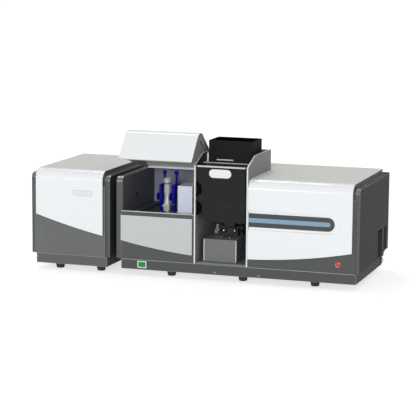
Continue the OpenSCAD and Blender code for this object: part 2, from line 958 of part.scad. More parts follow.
// The closed box that holds the grating, with its light inlet and its outlet to the detector
module monochromator_case() {
    z0 = bench_z + bench_t;
    color([0.2, 0.2, 0.21]) place() {
        difference() {
            box(case_x0, case_x1, case_y0, case_y1, z0, z0 + case_h);
            box(case_x0 + case_t, case_x1 - case_t, case_y0 + case_t, case_y1 - case_t,
                z0 + case_t, z0 + case_h - case_t);
            for (y = [beam_y, detector_y]) {
                x_rod(slit_r, case_x0 - 1, case_x0 + case_t + 1, y, beam_z);
            }
        }
        z_rod(grating_pin_r, grating_x, grating_y, z0 + case_t - eps, z0 + case_t + grating_pin_h);
    }
}

// A folding mirror: a three-sided glass block on the duct's outer skin
module fold_mirror(y, side) {
    size = duct_t - 2 * sheet - 4;
    translate([0, 0, beam_z - window_r]) linear_extrude(2 * window_r)
        polygon([[sheet, y - side * size / 2], [sheet, y + side * size / 2],
                 [sheet + size, y - side * size / 2]]);
}

// Mirrors, and the windows and lenses on the light path
module beam_optics() {
    color("lightblue") place() {
        fold_mirror(beam_y, 1);
        fold_mirror(turret_y, -1);
        x_rod(window_r, duct_t - sheet, duct_t, beam_y, beam_z);
        x_rod(window_r, duct_t - sheet, duct_t, turret_y, beam_z);
        x_rod(window_r, flame_x, flame_x + plate_t, beam_y, beam_z);
        x_rod(window_r, flame_out, flame_out + plate_t, beam_y, beam_z);
        x_rod(lens_r, lens_x, lens_x + lens_t, beam_y, beam_z);
        for (y = [case_y0 + mirror_in, case_y1 - mirror_in]) {
            box(case_x1 - case_t - mirror_t, case_x1 - case_t, y - mirror_half, y + mirror_half,
                beam_z - mirror_half, beam_z + mirror_half);
        }
    }
}

module detector() {
    color([0.15, 0.15, 0.16]) place() {
        box(case_x0 - detector_w, case_x0, detector_y - detector_half, detector_y + detector_half,
            bench_z + bench_t, beam_z + detector_half);
    }
}

// Circuit board on pillars with its parts, and the boxed power supply behind it
module electronics_tray() {
    chip_y = board_y0 + 30;
    can_y = board_y0 + 100;
    color("darkgreen") place() {
        for (x = [board_x0 + pillar_in, board_x1 - pillar_in],
             y = [board_y0 + pillar_in, board_y1 - pillar_in]) {
            z_rod(pillar_r, x, y, pan_z, board_z);
        }
        box(board_x0, board_x1, board_y0, board_y1, board_z, board_top);
        for (x = [board_x0 + 30 : chip_pitch : board_x1 - 60]) {
            box(x, x + chip_w, chip_y, chip_y + chip_w, board_top, board_top + chip_t);
            z_rod(can_r, x + chip_w / 2, can_y, board_top, board_top + can_h);
        }
        box(board_x0 + 90, board_x0 + 180, board_y1 - 65, board_y1 - 25, board_top, board_z + 28);
    }
    color("silver") place() {
        box(board_x0 + pillar_in, board_x0 + pillar_in + psu_w, bench_y1 + 5 - psu_d, bench_y1 + 5,
            pan_z, pan_z + psu_h);
    }
}

// Gas block with two solenoid valves and their ports
module gas_control_box() {
    color("lightgray") place() {
        box(flame_in + gas_in, flame_out - gas_in, gas_y0, gas_y0 + gas_d, pan_z, pan_z + gas_h);
        for (x = [flame_in + valve_in, flame_out - valve_in]) {
            box(x - valve_w / 2, x + valve_w / 2, gas_y0 + valve_inset, gas_y0 + gas_d - valve_inset,
                pan_z + gas_h, pan_z + gas_h + valve_h);
        }
    }
}

// Gas inlets under the raised rear floor: pipes with hexagon nuts and hose spigots
module gas_fittings() {
    nut_y = plinth_d + pipe_l;
    spigot_y = nut_y + nut_l;
    color("silver") place() {
        for (i = [0, 1]) {
            x = fitting_x - i * fitting_pitch;
            y_rod(pipe_r, x, plinth_d, nut_y, fitting_z);
            translate([x, nut_y, fitting_z]) rotate([-90, 0, 0]) cylinder(r = nut_r, h = nut_l, $fn = 6);
            difference() {
                y_rod(spigot_r, x, spigot_y, spigot_y + spigot_l, fitting_z);
                y_rod(spigot_bore_r, x, spigot_y + 4, spigot_y + spigot_l + 1, fitting_z);
            }
        }
    }
}

// Mains inlet with its three pins
module mains_inlet() {
    color([0.12, 0.12, 0.12]) place() {
        difference() {
            box(inlet_x - inlet_w / 2, inlet_x + inlet_w / 2, body_d - inlet_d, body_d,
                inlet_z - inlet_h / 2, inlet_z + inlet_h / 2);
            box(inlet_x - socket_w / 2, inlet_x + socket_w / 2, body_d - socket_d, body_d + 1,
                inlet_z - socket_h / 2, inlet_z + socket_h / 2);
        }
        for (i = [-1 : 1]) {
            translate([inlet_x + i * pin_pitch - pin_w / 2, body_d - socket_d, inlet_z + 1])
                cube([pin_w, pin_l, pin_h]);
        }
    }
}

// A square fan frame with a hub carried on four arms and the fixed shaft of the rotor
module fan_frame(x, z) {
    y1 = body_d - sheet;
    y0 = y1 - fan_t;
    difference() {
        box(x - fan_half, x + fan_half, y0, y1, z - fan_half, z + fan_half);
        y_rod(fan_r + 2, x, y0 - 1, y1 + 1, z);
    }
    y_rod(hub_r, x, y0, y0 + hub_t, z);
    for (a = [0 : 90 : 270]) {
        translate([x, y0, z]) rotate([0, a + 45, 0]) translate([hub_r - 4, 0.5, -arm_w / 2])
            cube([fan_r - hub_r + 7, arm_t, arm_w]);
    }
    y_rod(shaft_r, x, y0 + hub_t, y1 - 3, z);
}

// A fan rotor: a cup with a bore and slanted blades
module fan_rotor(x, z) {
    y0 = body_d - sheet - fan_t + hub_t + 1;
    len = fan_t - hub_t - 5;
    difference() {
        union() {
            y_rod(cup_r, x, y0, y0 + len, z);
            for (i = [0 : blade_n - 1]) {
                translate([x, y0 + len / 2, z]) rotate([0, i * 360 / blade_n, 0])
                    translate([cup_r - 1, 0, 0]) rotate([blade_tilt, 0, 0]) translate([0, 1 - len / 2, -1])
                        cube([fan_r - cup_r, len - 2, blade_t]);
            }
        }
        y_rod(shaft_r + run_fit, x, y0 - 1, y0 + len + 1, z);
    }
}

module fan_frames() {
    color([0.15, 0.15, 0.15]) place() {
        fan_frame(fan_x, fan_z);
        fan_frame(supply_mid, supply_fan_z);
    }
}

module main_fan_rotor() {
    color([0.2, 0.2, 0.2]) place() fan_rotor(fan_x, fan_z);
}

module supply_fan_rotor() {
    color([0.2, 0.2, 0.2]) place() fan_rotor(supply_mid, supply_fan_z);
}

// Upright bracket with the stepping motor whose shaft turns the lamp turret
module turret_bracket() {
    x0 = turret_x + bracket_gap;
    x1 = x0 + bracket_wall;
    y0 = bay_d + sheet + bracket_gap;
    y1 = plinth_d - 6;
    color("silver") place() {
        box(x0, x1, y0, y1, pan_z, turret_z + bracket_rise);
        box(x1, x1 + 36, y0, y1, pan_z, pan_z + bracket_wall);
        difference() {
            box(x0, x1, y1, turret_y + motor_half + 3, turret_z - bracket_rise, turret_z + bracket_rise);
            x_rod(shaft_r + run_fit, turret_x, turret_x + 20, turret_y, turret_z);
        }
        box(x1, x1 + motor_l, turret_y - motor_half, turret_y + motor_half,
            turret_z - motor_half, turret_z + motor_half);
    }
}

// Turret: a rear disc with sockets, a spindle, a front ring and the motor's shaft
module lamp_turret() {
    front_x = lamp_x1 - lamp_l + ring_in;
    color("dimgray") place() {
        x_rod(turret_disc_r, turret_x - disc_t, turret_x, turret_y, turret_z);
        x_rod(spindle_r, front_x - ring_t, turret_x - disc_t, turret_y, turret_z);
        x_rod(shaft_r, turret_x, turret_x + bracket_gap + bracket_wall, turret_y, turret_z);
        difference() {
            x_rod(turret_disc_r, front_x - ring_t, front_x, turret_y, turret_z);
            for (i = [0 : lamp_n - 1]) {
                turret_place(i) x_rod(lamp_r, front_x - ring_t - 1, front_x + 1, turret_r, 0);
            }
        }
    }
}

// Turns a lamp to its place on the turret; lamp 0 is on the light path
module turret_place(i) {
    translate([0, turret_y, turret_z]) rotate([90 + i * 360 / lamp_n, 0, 0]) children();
}

module hollow_cathode_lamps() {
    cap_x = lamp_x1 - lamp_cap_l;
    neck_x = lamp_x1 - lamp_l + 10;
    color("orange") place() for (i = [0 : lamp_n - 1]) {
        turret_place(i) {
            x_rod(lamp_r - 2.5, cap_x, lamp_x1, turret_r, 0);
            x_rod(lamp_r, neck_x, cap_x, turret_r, 0);
            x_rod(lamp_r - 4, neck_x - lamp_neck_l, neck_x, turret_r, 0);
        }
    }
}

// The grating in its holder on a turntable
module grating() {
    floor_z = bench_z + bench_t + case_t + slide_fit;
    top_z = floor_z + grating_disc_t;
    color("lightgray") place() difference() {
        union() {
            z_rod(grating_disc_r, grating_x, grating_y, floor_z, top_z);
            box(grating_x - grating_block_d / 2, grating_x + grating_block_d / 2,
                grating_y - grating_half, grating_y + grating_half, top_z, beam_z + grating_half);
        }
        z_rod(grating_pin_r + run_fit, grating_x, grating_y, floor_z - 1, floor_z + grating_pin_h + 1);
    }
}

// Base of the furnace: floor plate, two stepped plates and the rail of the moving jaw
module furnace_base() {
    floor_top = seat_z + base_plate_t;
    step_top = seat_z + 14;
    block_top = seat_z + 24;
    neck_top = seat_z + 27;
    color([0.85, 0.87, 0.9]) place() {
        box(furnace_x - 30, rail_x1, furnace_y - 20, furnace_y + 20, seat_z, floor_top);
        box(rail_x0, rail_x1, furnace_y - slide_rail_w / 2, furnace_y + slide_rail_w / 2,
            floor_top, floor_top + slide_rail_h);
        box(furnace_x - 12, furnace_x + 8, furnace_y - 11, furnace_y + 11, floor_top, step_top);
        box(furnace_x - 12, furnace_x + 12, furnace_y - 12, furnace_y + 12, step_top, block_top);
        box(furnace_x - 10, furnace_x + 10, furnace_y - 10, furnace_y + 10, block_top, neck_top);
        box(furnace_x - 16, furnace_x + 14, furnace_y - 15, furnace_y + 15, neck_top, waist_z0);
    }
}

// Furnace body: a flared foot, the waist round the graphite tube, the upper part and a domed cap
module furnace_body() {
    cap_z = neck_z1 + cap_gap;
    color([0.93, 0.94, 0.96]) place() {
        difference() {
            union() {
                translate([furnace_x, furnace_y, waist_z0])
                    cylinder(r1 = furnace_r, r2 = waist_r, h = flare_h);
                z_rod(waist_r, furnace_x, furnace_y, waist_z0 + flare_h, waist_z1);
                z_rod(furnace_r, furnace_x, furnace_y, waist_z1, neck_z1);
                z_rod(furnace_r - 2, furnace_x, furnace_y, neck_z1, cap_z);
                z_rod(furnace_r, furnace_x, furnace_y, cap_z, cap_z + cap_h);
                translate([furnace_x, furnace_y, cap_z + cap_h]) rotate_extrude() intersection() {
                    circle(r = furnace_r);
                    square(furnace_r);
                }
            }
            x_rod(contact_r, waist_x0 - 1, waist_x1 + 1, furnace_y, beam_z);
        }
    }
    color([0.2, 0.2, 0.2]) place() difference() {
        x_rod(contact_r, waist_x0, waist_x1, furnace_y, beam_z);
        x_rod(light_r - 1, waist_x0 - 1, waist_x1 + 1, furnace_y, beam_z);
    }
}

// A blade of the clamp with its light passage and the lug that holds a clamp screw behind it
module jaw_blade(x0, x1, screw_x) {
    difference() {
        union() {
            box(x0, x1, furnace_y - jaw_d / 2, furnace_y + jaw_d / 2, blade_z0, blade_z1);
            box(screw_x - lug_w / 2, screw_x + lug_w / 2, lug_y, lug_y + lug_w, blade_z1 - lug_h, blade_z1);
        }
        x_rod(light_r, x0 - 1, x1 + 1, furnace_y, beam_z);
        z_rod(fknob_stem_r + run_fit, screw_x, fknob_y, blade_z1 - lug_h + 2, blade_z1 + 1);
    }
}

// A ring on the light path
module jaw_ring(x0, x1, r) {
    difference() {
        x_rod(r, x0, x1, furnace_y, beam_z);
        x_rod(light_r, x0 - 1, x1 + 1, furnace_y, beam_z);
    }
}

module furnace_fixed_jaw() {
    ring_x = left_blade_x0 - ring_l;
    color([0.08, 0.05, 0.55]) place() {
        jaw_blade(left_blade_x0, left_blade_x1, fknob_x_left);
        jaw_ring(ring_x, left_blade_x0, contact_r);
        jaw_ring(ring_x - disc_w, ring_x, disc_r);
        jaw_ring(left_blade_x1, waist_x0, contact_r);
        z_rod(jaw_post_r, left_blade_x0 + 5, furnace_y, seat_z + base_plate_t, blade_z0);
    }
}

module furnace_moving_jaw() {
    foot_z0 = seat_z + base_plate_t + slide_fit;
    color([0.08, 0.05, 0.55]) place() {
        jaw_blade(right_blade_x0, right_blade_x1, fknob_x_right);
        jaw_ring(waist_x1 + slide_fit, waist_x1 + 2, contact_r);
        jaw_ring(waist_x1 + 2, waist_x1 + 2 + disc_w, disc_r - 0.5);
        jaw_ring(waist_x1 + 2 + disc_w, right_blade_x0, contact_r);
        x_rod(stub_r, right_blade_x1, right_blade_x1 + stub_l, furnace_y, blade_z1 - 6);
        z_rod(column_r, column_x, furnace_y, foot_z0 + saddle_h, blade_z0);
        difference() {
            box(column_x - saddle_half, column_x + saddle_half, furnace_y - saddle_half,
                furnace_y + saddle_half, foot_z0, foot_z0 + saddle_h);
            box(column_x - saddle_half - 1, column_x + saddle_half + 1,
                furnace_y - slide_rail_w / 2 - slide_fit, furnace_y + slide_rail_w / 2 + slide_fit,
                foot_z0 - 1, foot_z0 + slide_rail_h);
        }
    }
}

// A clamp knob: a stem in the jaw's lug and a wide grooved head
module clamp_knob(x) {
    z_rod(fknob_stem_r, x, fknob_y, blade_z1 - lug_h + 3, fknob_z);
    difference() {
        translate([x, fknob_y, fknob_z]) cylinder(r1 = fknob_r - 2, r2 = fknob_r, h = fknob_h);
        for (a = [0 : 60 : 300]) {
            translate([x, fknob_y, 0]) rotate([0, 0, a])
                z_rod(groove_r, fknob_r + 1, 0, fknob_z - 1, fknob_z + fknob_h + 1);
        }
    }
}

module furnace_knob_left() {
    color([0.08, 0.05, 0.6]) place() clamp_knob(fknob_x_left);
}

module furnace_knob_right() {
    color([0.08, 0.05, 0.6]) place() clamp_knob(fknob_x_right);
}

// The pale upright box beside the furnace, for its gas and water lines
module furnace_supply_box() {
    color([0.85, 0.86, 0.95]) place() difference() {
        box(pbox_x0, pbox_x0 + pbox_w, pbox_y0, pbox_y0 + pbox_d, seat_z, pbox_top);
        box(pbox_x0 + sheet, pbox_x0 + pbox_w - sheet, pbox_y0 + sheet, pbox_y0 + pbox_d - sheet,
            seat_z - 1, pbox_top - sheet);
    }
}

// A rubber foot, wider at the top
module foot(x, y) {
    translate([x, y, 0]) cylinder(r1 = foot_r, r2 = foot_top_r, h = foot_h);
}

module feet() {
    color([0.15, 0.15, 0.15]) place() for (y = foot_y) {
        for (x = main_foot_x) {
            foot(x, y);
        }
        for (x = supply_foot_x) {
            foot(x, y);
        }
    }
}

module base_supply() {
    color("dimgray") place()
        base_pan(supply_x0 + side_t, supply_x1 - side_t, supply_x0 + 23, supply_x1 - 10);
}

module supply_sides() {
    color([0.25, 0.25, 0.26]) place() {
        tray_panel(supply_x0, supply_x0 + side_t);
        tray_panel(supply_x1, supply_x1 - side_t);
    }
}

module supply_cover() {
    x0 = supply_x0 + side_t + reveal;
    x1 = supply_x1 - side_t - reveal;
    color([0.93, 0.94, 0.95]) place() {
        cover_shell(x0, x1, base_z + 70, sweep_x, sweep_z, supply_sweep_r);
        box(x0, x1, side_d - cover_t, side_d, side_top + 3, cover_under);
    }
}

module supply_lower_front() {
    color("gray") place() difference() {
        union() {
            box(supply_x0 + side_t, supply_x1 - side_t, front_y, front_y + front_t, base_z,
                side_top - cover_r);
            for (x = [supply_x0 + side_t, supply_x1 - side_t - reveal + 1]) {
                box(x, x + reveal - 1, front_y + front_t, 0, base_z, side_top - cover_r);
            }
            reveal_strip(supply_x0 + side_t, supply_x0 + side_t + reveal);
            reveal_strip(supply_x1 - side_t - reveal, supply_x1 - side_t);
        }
        for (i = [0 : supply_lamp_n - 1]) {
            y_rod(supply_lamp_r, supply_lamp_x, front_y - 1, front_y + front_t + 1,
                  supply_lamp_z - i * lamp_pitch);
        }
    }
}

module supply_rear_panel() {
    color([0.3, 0.3, 0.31]) place() rear_tray(supply_x0, supply_x1, supply_mid, supply_fan_z);
}

// A ring transformer on its bolt, with two end plates
module transformer() {
    top_z = pan_z + toroid_plate_t + toroid_h;
    color("darkgoldenrod") place() translate([supply_mid, toroid_y, pan_z + toroid_plate_t]) rotate_extrude()
        translate([toroid_r - toroid_core / 2 - 2, toroid_h / 2]) union() {
            square([toroid_core, toroid_h - 20], center = true);
            square([toroid_core - 2 * toroid_edge, toroid_h], center = true);
        }
    color("silver") place() {
        z_rod(toroid_r - 10, supply_mid, toroid_y, pan_z, pan_z + toroid_plate_t);
        z_rod(toroid_bolt_r, supply_mid, toroid_y, pan_z + toroid_plate_t, top_z + 12);
        z_rod(toroid_r - 20, supply_mid, toroid_y, top_z, top_z + toroid_plate_t);
    }
}

module supply_lamps() {
    color("green") place() for (i = [0 : supply_lamp_n - 1]) {
        y_rod(supply_lamp_r, supply_lamp_x, front_y - 1, front_y + front_t + 6,
              supply_lamp_z - i * lamp_pitch);
    }
}

// Turns what is drawn in its closed place to where the lid stands open
module lid_place() {
    translate([0, hinge_y, hinge_z]) rotate([-lid_open, 0, 0]) translate([0, -hinge_y, -hinge_z]) children();
}

// The lid's white shell, drawn closed: front with a lip along its lower edge, rounded corner and top
module furnace_lid() {
    side_w = side_plate_inset + side_plate_t;
    color([0.93, 0.94, 0.95]) place() lid_place() {
        difference() {
            along_x(lid_x0, lid_x1) cover_outline(lid_low_z, lid_rear_y, 0, lid_r);
            along_x(lid_x0 - 1, lid_x1 + 1) cover_outline(lid_low_z - 1, lid_rear_y + 1, cover_t, lid_r);
        }
        box(lid_x0 + side_w, lid_x1 - side_w, cover_y + cover_t - eps, front_y - 1, lid_low_z,
            lid_low_z + cover_t);
    }
}

// Side plate outline: behind the front, under the top, slanting down from the hinge to the front
module lid_side_outline() {
    y0 = cover_y + cover_t;
    y1 = front_y - 1;
    difference() {
        intersection() {
            cover_outline(lid_low_z, lid_rear_y, cover_t, lid_r);
            polygon([[y0, lid_low_z], [y1, lid_low_z], [y1, ledge_z + 3], [hinge_y, hinge_z - ear_r],
                     [lid_rear_y, hinge_z - hinge_drop], [lid_rear_y, cover_top], [y0, cover_top]]);
        }
        translate([hinge_y, hinge_z]) circle(r = hinge_pin_r + run_fit);
    }
}

// The lid's two side plates with their hinge bores
module lid_side_plates() {
    color([0.45, 0.46, 0.46]) place() lid_place() {
        along_x(lid_x0 + side_plate_inset, lid_x0 + side_plate_inset + side_plate_t) lid_side_outline();
        along_x(lid_x1 - side_plate_inset - side_plate_t, lid_x1 - side_plate_inset) lid_side_outline();
    }
}

// Outline of the glass, in X and Z: a long easy curve at the lower left corner
module glass_outline() {
    curve_w = 80;
    curve_h = 30;
    corner_r = 8;
    polygon(concat(
        [for (a = [180 : 6 : 270])
            [door_x0 + curve_w * (1 + cos(a)), door_bottom + curve_h * (1 + sin(a))]],
        [for (a = [270 : 15 : 360])
            [door_x1 - corner_r * (1 - cos(a)), door_bottom + corner_r * (1 + sin(a))]],
        [[door_x1, door_top], [door_x0, door_top]]));
}

module flame_door() {
    color([0.14, 0.15, 0.16]) place()
        along_y(door_y - glass_t / 2, door_y + glass_t / 2) glass_outline();
}

// Outline of a clamp plate, in X and Z, rounded towards the glass
module clamp_outline(top) {
    x1 = door_x0 + clamp_w;
    r = clamp_corner_r;
    x0 = door_x0 - 2;
    rect(x0, x1 - r, top - clamp_h, top);
    rect(x0, x1, top - clamp_h + r, top - r);
    intersection() {
        rect(x0, x1, top - clamp_h, top);
        for (z = [top - r, top - clamp_h + r]) {
            translate([x1 - r, z]) circle(r = r);
        }
    }
}

// A hinge clamp: a plate on each side of the glass and a knuckle round the pin
module clamp(top) {
    for (y = [door_y - glass_t / 2 - clamp_t, door_y + glass_t / 2]) {
        along_y(y, y + clamp_t) clamp_outline(top);
    }
    difference() {
        union() {
            z_rod(door_knuckle_r, door_axis_x, door_y, top - clamp_h, top);
            box(door_axis_x, door_x0, door_y - glass_t / 2, door_y + glass_t / 2, top - clamp_h, top);
        }
        z_rod(door_pin_r + run_fit, door_axis_x, door_y, top - clamp_h - 1, top + 1);
    }
}

module door_clamps() {
    color([0.07, 0.07, 0.07]) place() for (i = [0, 1]) {
        clamp(clamp_top_z - i * clamp_pitch);
    }
}

// Carriage of the burner: a plate on the box's rails, two guide posts and the adjusters' bracket
module burner_carriage() {
    color("darkgray") place() {
        difference() {
            union() {
                box(burner_x - carriage_w / 2, burner_x + carriage_w / 2, post_y - carriage_front,
                    post_y + carriage_back, carriage_z, carriage_z + carriage_t);
                box(tongue_x0, tongue_x1, tongue_y, post_y, carriage_z, carriage_z + carriage_t);
            }
            for (s = [-1, 1]) {
                box(burner_x + s * rail_dx - rail_w / 2 - slide_fit,
                    burner_x + s * rail_dx + rail_w / 2 + slide_fit, bbox_y0, bbox_y0 + bbox_d,
                    carriage_z - 1, bbox_top + rail_h + slide_fit);
            }
        }
        for (s = [-1, 1]) {
            z_rod(post_r, burner_x + s * post_dx, post_y, carriage_z + carriage_t,
                  carriage_z + carriage_t + post_h);
        }
        difference() {
            box(tongue_x0, tongue_x1, bracket_y, bracket_y + bracket_t, carriage_z + carriage_t, knob_z + 8);
            for (x = [traverse_x, lift_x]) {
                y_rod(knob_shaft_r + run_fit, x, bracket_y - 1, bracket_y + bracket_t + 1, knob_z);
            }
        }
    }
}

// Lift plate on the guide posts, with the saddle of the mixing chamber
module burner_lift() {
    color("darkgray") place() difference() {
        union() {
            box(burner_x - carriage_w / 2, burner_x + carriage_w / 2, post_y - lift_half, post_y + lift_half,
                lift_z, lift_z + lift_t);
            box(burner_x - saddle_w / 2, burner_x + saddle_w / 2, post_y - lift_half, post_y + lift_half,
                lift_z + lift_t, chamber_z - 6);
        }
        for (s = [-1, 1]) {
            z_rod(post_r + run_fit, burner_x + s * post_dx, post_y, lift_z - 1, lift_z + lift_t + 1);
        }
        y_rod(chamber_r, burner_x, post_y - lift_half - 1, post_y + lift_half + 1, chamber_z);
    }
}

// Mixing chamber: barrel, end cap, nebuliser, drain pipe and the socket of the burner head
module mixing_chamber() {
    cap_y = burner_y - chamber_front;
    color([0.12, 0.12, 0.12]) place() difference() {
        union() {
            y_rod(chamber_r, burner_x, cap_y, burner_y + chamber_back, chamber_z);
            y_rod(chamber_r + 3, burner_x, cap_y - cap_l, cap_y, chamber_z);
            y_rod(nebuliser_r, burner_x, cap_y - cap_l - nebuliser_l, cap_y - cap_l, chamber_z);
            z_rod(drain_r, burner_x + drain_dx, cap_y - cap_l / 2, chamber_z - chamber_r - 8, chamber_z);
            z_rod(socket_r, burner_x, burner_y, chamber_z, socket_top);
        }
        z_rod(head_r + run_fit, burner_x, burner_y, chamber_z - 6, socket_top + 1);
    }
}

// Burner head: neck, tapered body drawn as steps, and the long slot
module burner_head() {
    color("gainsboro") place() difference() {
        union() {
            z_rod(head_r, burner_x, burner_y, chamber_z + 4, head_z);
            box(burner_x - head_l / 2, burner_x + head_l / 2, burner_y - head_w / 2, burner_y + head_w / 2,
                head_z, head_top - lip_h);
            box(burner_x - head_l / 2, burner_x + head_l / 2, burner_y - head_w / 4, burner_y + head_w / 4,
                head_top - lip_h, head_top);
        }
        box(burner_x - head_l / 2 + 5, burner_x + head_l / 2 - 5, burner_y - slot_w / 2,
            burner_y + slot_w / 2, head_z + 4, head_top + 1);
    }
}

// An adjuster: a bright ball on a shaft that turns in the bracket
module ball_knob(x) {
    y_rod(knob_shaft_r, x, knob_y, bracket_y + bracket_t + 6, knob_z);
    translate([x, knob_y, knob_z]) sphere(r = ball_r);
}

module lift_knob() {
    color("silver") place() ball_knob(lift_x);
}

module traverse_knob() {
    color("silver") place() ball_knob(traverse_x);
}

module power_button() {
    color("red") place()
        y_rod(button_r, button_x, front_y - button_travel - 1.5, front_y + front_t + 6, button_z);
}

base_main();
side_panel_left();
side_panel_right();
rear_panel_main();
lower_fronts();
fascia_inlay();
furnace_bay_floor();
bay_back_wall();
rear_deck_cover();
optics_cover();
stripe_band();
bay_plate_left();
bay_plate_right();
flame_bay_floor();
flame_bay_top();
door_header();
chimney_hood();
burner_box();
hinge_pins();
optical_bench();
monochromator_case();
beam_optics();
detector();
electronics_tray();
gas_control_box();
gas_fittings();
mains_inlet();
fan_frames();
turret_bracket();
furnace_base();
furnace_body();
furnace_fixed_jaw();
furnace_supply_box();
feet();
base_supply();
supply_sides();
supply_cover();
supply_lower_front();
supply_rear_panel();
transformer();
supply_lamps();
furnace_lid();
lid_side_plates();
flame_door();
door_clamps();
lamp_turret();
hollow_cathode_lamps();
grating();
furnace_moving_jaw();
furnace_knob_left();
furnace_knob_right();
burner_carriage();
burner_lift();
mixing_chamber();
burner_head();
lift_knob();
traverse_knob();
power_button();
main_fan_rotor();
supply_fan_rotor();
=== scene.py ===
# Atomic absorption spectrophotometer with its furnace supply cabinet, dressed for the picture. The
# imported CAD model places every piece; this script gives each its edges, its finish and small trim.
import math

import bmesh
import bpy
from mathutils import Matrix, Vector


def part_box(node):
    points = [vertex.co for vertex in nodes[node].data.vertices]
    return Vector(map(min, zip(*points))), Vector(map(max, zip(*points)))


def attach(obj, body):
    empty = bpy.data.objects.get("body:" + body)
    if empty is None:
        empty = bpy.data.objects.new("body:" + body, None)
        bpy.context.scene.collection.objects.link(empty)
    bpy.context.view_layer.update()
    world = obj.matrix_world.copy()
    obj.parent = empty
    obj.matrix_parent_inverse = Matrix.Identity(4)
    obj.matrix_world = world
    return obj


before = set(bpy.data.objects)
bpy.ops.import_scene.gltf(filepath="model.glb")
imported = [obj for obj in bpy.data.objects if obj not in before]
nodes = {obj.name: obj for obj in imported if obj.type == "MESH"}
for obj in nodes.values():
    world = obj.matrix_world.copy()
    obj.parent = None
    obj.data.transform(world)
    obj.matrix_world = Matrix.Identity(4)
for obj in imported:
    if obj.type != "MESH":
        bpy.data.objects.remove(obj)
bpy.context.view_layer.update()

scene = bpy.context.scene
scene.view_settings.view_transform = "Standard"

# Camera
# It stands where a fit to some thirty corners of the two cabinets puts the photograph's camera,
# 7 m away on the right, with the lens that the same fit gives. Angles are in radians.
YAW, PITCH, ROLL = 0.319497, -0.158801, 0.007973
STAND = (2.18818, -6.63034, 1.37042)
LENS = 149.89
FILM_WIDTH = 36
SIGHT = 100
forward = Vector((-math.sin(YAW) * math.cos(PITCH), math.cos(YAW) * math.cos(PITCH), math.sin(PITCH)))
level = Vector((math.cos(YAW), math.sin(YAW), 0))
upright = level.cross(forward)
right = level * math.cos(ROLL) + upright * math.sin(ROLL)
up = upright * math.cos(ROLL) - level * math.sin(ROLL)
camera_data = bpy.data.cameras.new("camera")
camera_data.lens = LENS
camera_data.sensor_width = FILM_WIDTH
camera_data.clip_end = SIGHT
camera = bpy.data.objects.new("camera", camera_data)
camera.matrix_world = Matrix.Translation(STAND) @ Matrix((right, up, -forward)).transposed().to_4x4()
scene.collection.objects.link(camera)
scene.camera = camera


# Sky
# A plain pale sky lights the object evenly. The camera, metal and glass see it as a white studio,
# so it is white behind the object and in whatever shines.
class Value:
    """A number that may change over a surface. Python's operators on it add Math nodes."""

    def __init__(self, finish, socket):
        self.finish = finish
        self.socket = socket

    def maths(self, operation, first, second):
        return self.finish.node("ShaderNodeMath", {"operation": operation}, {0: first, 1: second})

    def __add__(self, other):
        return self.maths("ADD", self, other)

    def __sub__(self, other):
        return self.maths("SUBTRACT", self, other)

    def __rsub__(self, other):
        return self.maths("SUBTRACT", other, self)

    def __mul__(self, other):
        return self.maths("MULTIPLY", self, other)

    def __gt__(self, other):
        return self.maths("GREATER_THAN", self, other)

    def __lt__(self, other):
        return self.maths("LESS_THAN", self, other)

    __radd__ = __add__
    __rmul__ = __mul__


class Finish:
    """The nodes of one material, or of the sky. The method node adds every one of them."""

    def __init__(self, owner):
        owner.use_nodes = True
        self.tree = owner.node_tree

    def node(self, kind, settings=None, inputs=None, out=0):
        """Adds a node: its settings first, then the values or links of its sockets."""
        made = self.tree.nodes.new(kind)
        for key, value in (settings or {}).items():
            setattr(made, key, value)
        self.feed(made, inputs or {})
        return Value(self, made.outputs[out])

    def feed(self, made, inputs):
        for key, value in inputs.items():
            if isinstance(value, Value):
                self.tree.links.new(value.socket, made.inputs[key])
            else:
                made.inputs[key].default_value = value

    def seen(self):
        """1 for the camera and for what metal and glass show, 0 for the light itself."""
        rays = [self.node("ShaderNodeLightPath", out=f"Is {kind} Ray")
                for kind in ("Camera", "Glossy", "Transmission")]
        return rays[0] + rays[1] + rays[2]


SKY_LIGHT = 0.42
SKY_COLOUR = (1.0, 0.99, 0.965, 1)
STUDIO_WHITE = (1, 1, 1, 1)
world = bpy.data.worlds.new("sky")
scene.world = world
sky = Finish(world)
dim = sky.node("ShaderNodeBackground", None, {"Color": SKY_COLOUR, "Strength": SKY_LIGHT})
white = sky.node("ShaderNodeBackground", None, {"Color": STUDIO_WHITE, "Strength": 1.0})
both = sky.node("ShaderNodeMixShader", None, {0: sky.seen(), 1: dim, 2: white})
sky.feed(sky.tree.nodes["World Output"], {"Surface": both})


# Lamps
# A broad low lamp in front, so that fronts are lighter than tops, and two small ones on the left,
# in front and behind, that draw the bright lines along the rounded tops.
def lamp(name, energy, spread, azimuth, elevation, colour):
    """A far lamp. Its angles are in degrees, the azimuth counted from the front to the right."""
    sun = bpy.data.lights.new(name, "SUN")
    sun.energy = energy
    sun.angle = math.radians(spread)
    sun.color = colour
    holder = bpy.data.objects.new(name, sun)
    a, e = math.radians(azimuth), math.radians(elevation)
    towards = Vector((math.sin(a) * math.cos(e), -math.cos(a) * math.cos(e), math.sin(e)))
    holder.rotation_euler = towards.to_track_quat("Z", "Y").to_euler()
    scene.collection.objects.link(holder)


lamp("front_lamp", energy=1.52, spread=12, azimuth=5, elevation=10.5, colour=(0.97, 0.99, 1.0))
lamp("glint_lamp", energy=0.20, spread=5, azimuth=-18.4, elevation=11, colour=(0.97, 0.99, 1.0))
lamp("rear_lamp", energy=0.40, spread=8, azimuth=215, elevation=57, colour=(1.0, 1.0, 1.0))


# Floor
# Plain pale paper laid under the cabinets. It looks white to the camera, and keeps the object's
# shadow.
def rgb(red, green, blue):
    """A colour as the screen shows it, 0 to 255, as the linear colour that a shader takes."""
    parts = [c / 255 for c in (red, green, blue)]
    return tuple(c / 12.92 if c <= 0.04045 else ((c + 0.055) / 1.055) ** 2.4 for c in parts) + (1.0,)


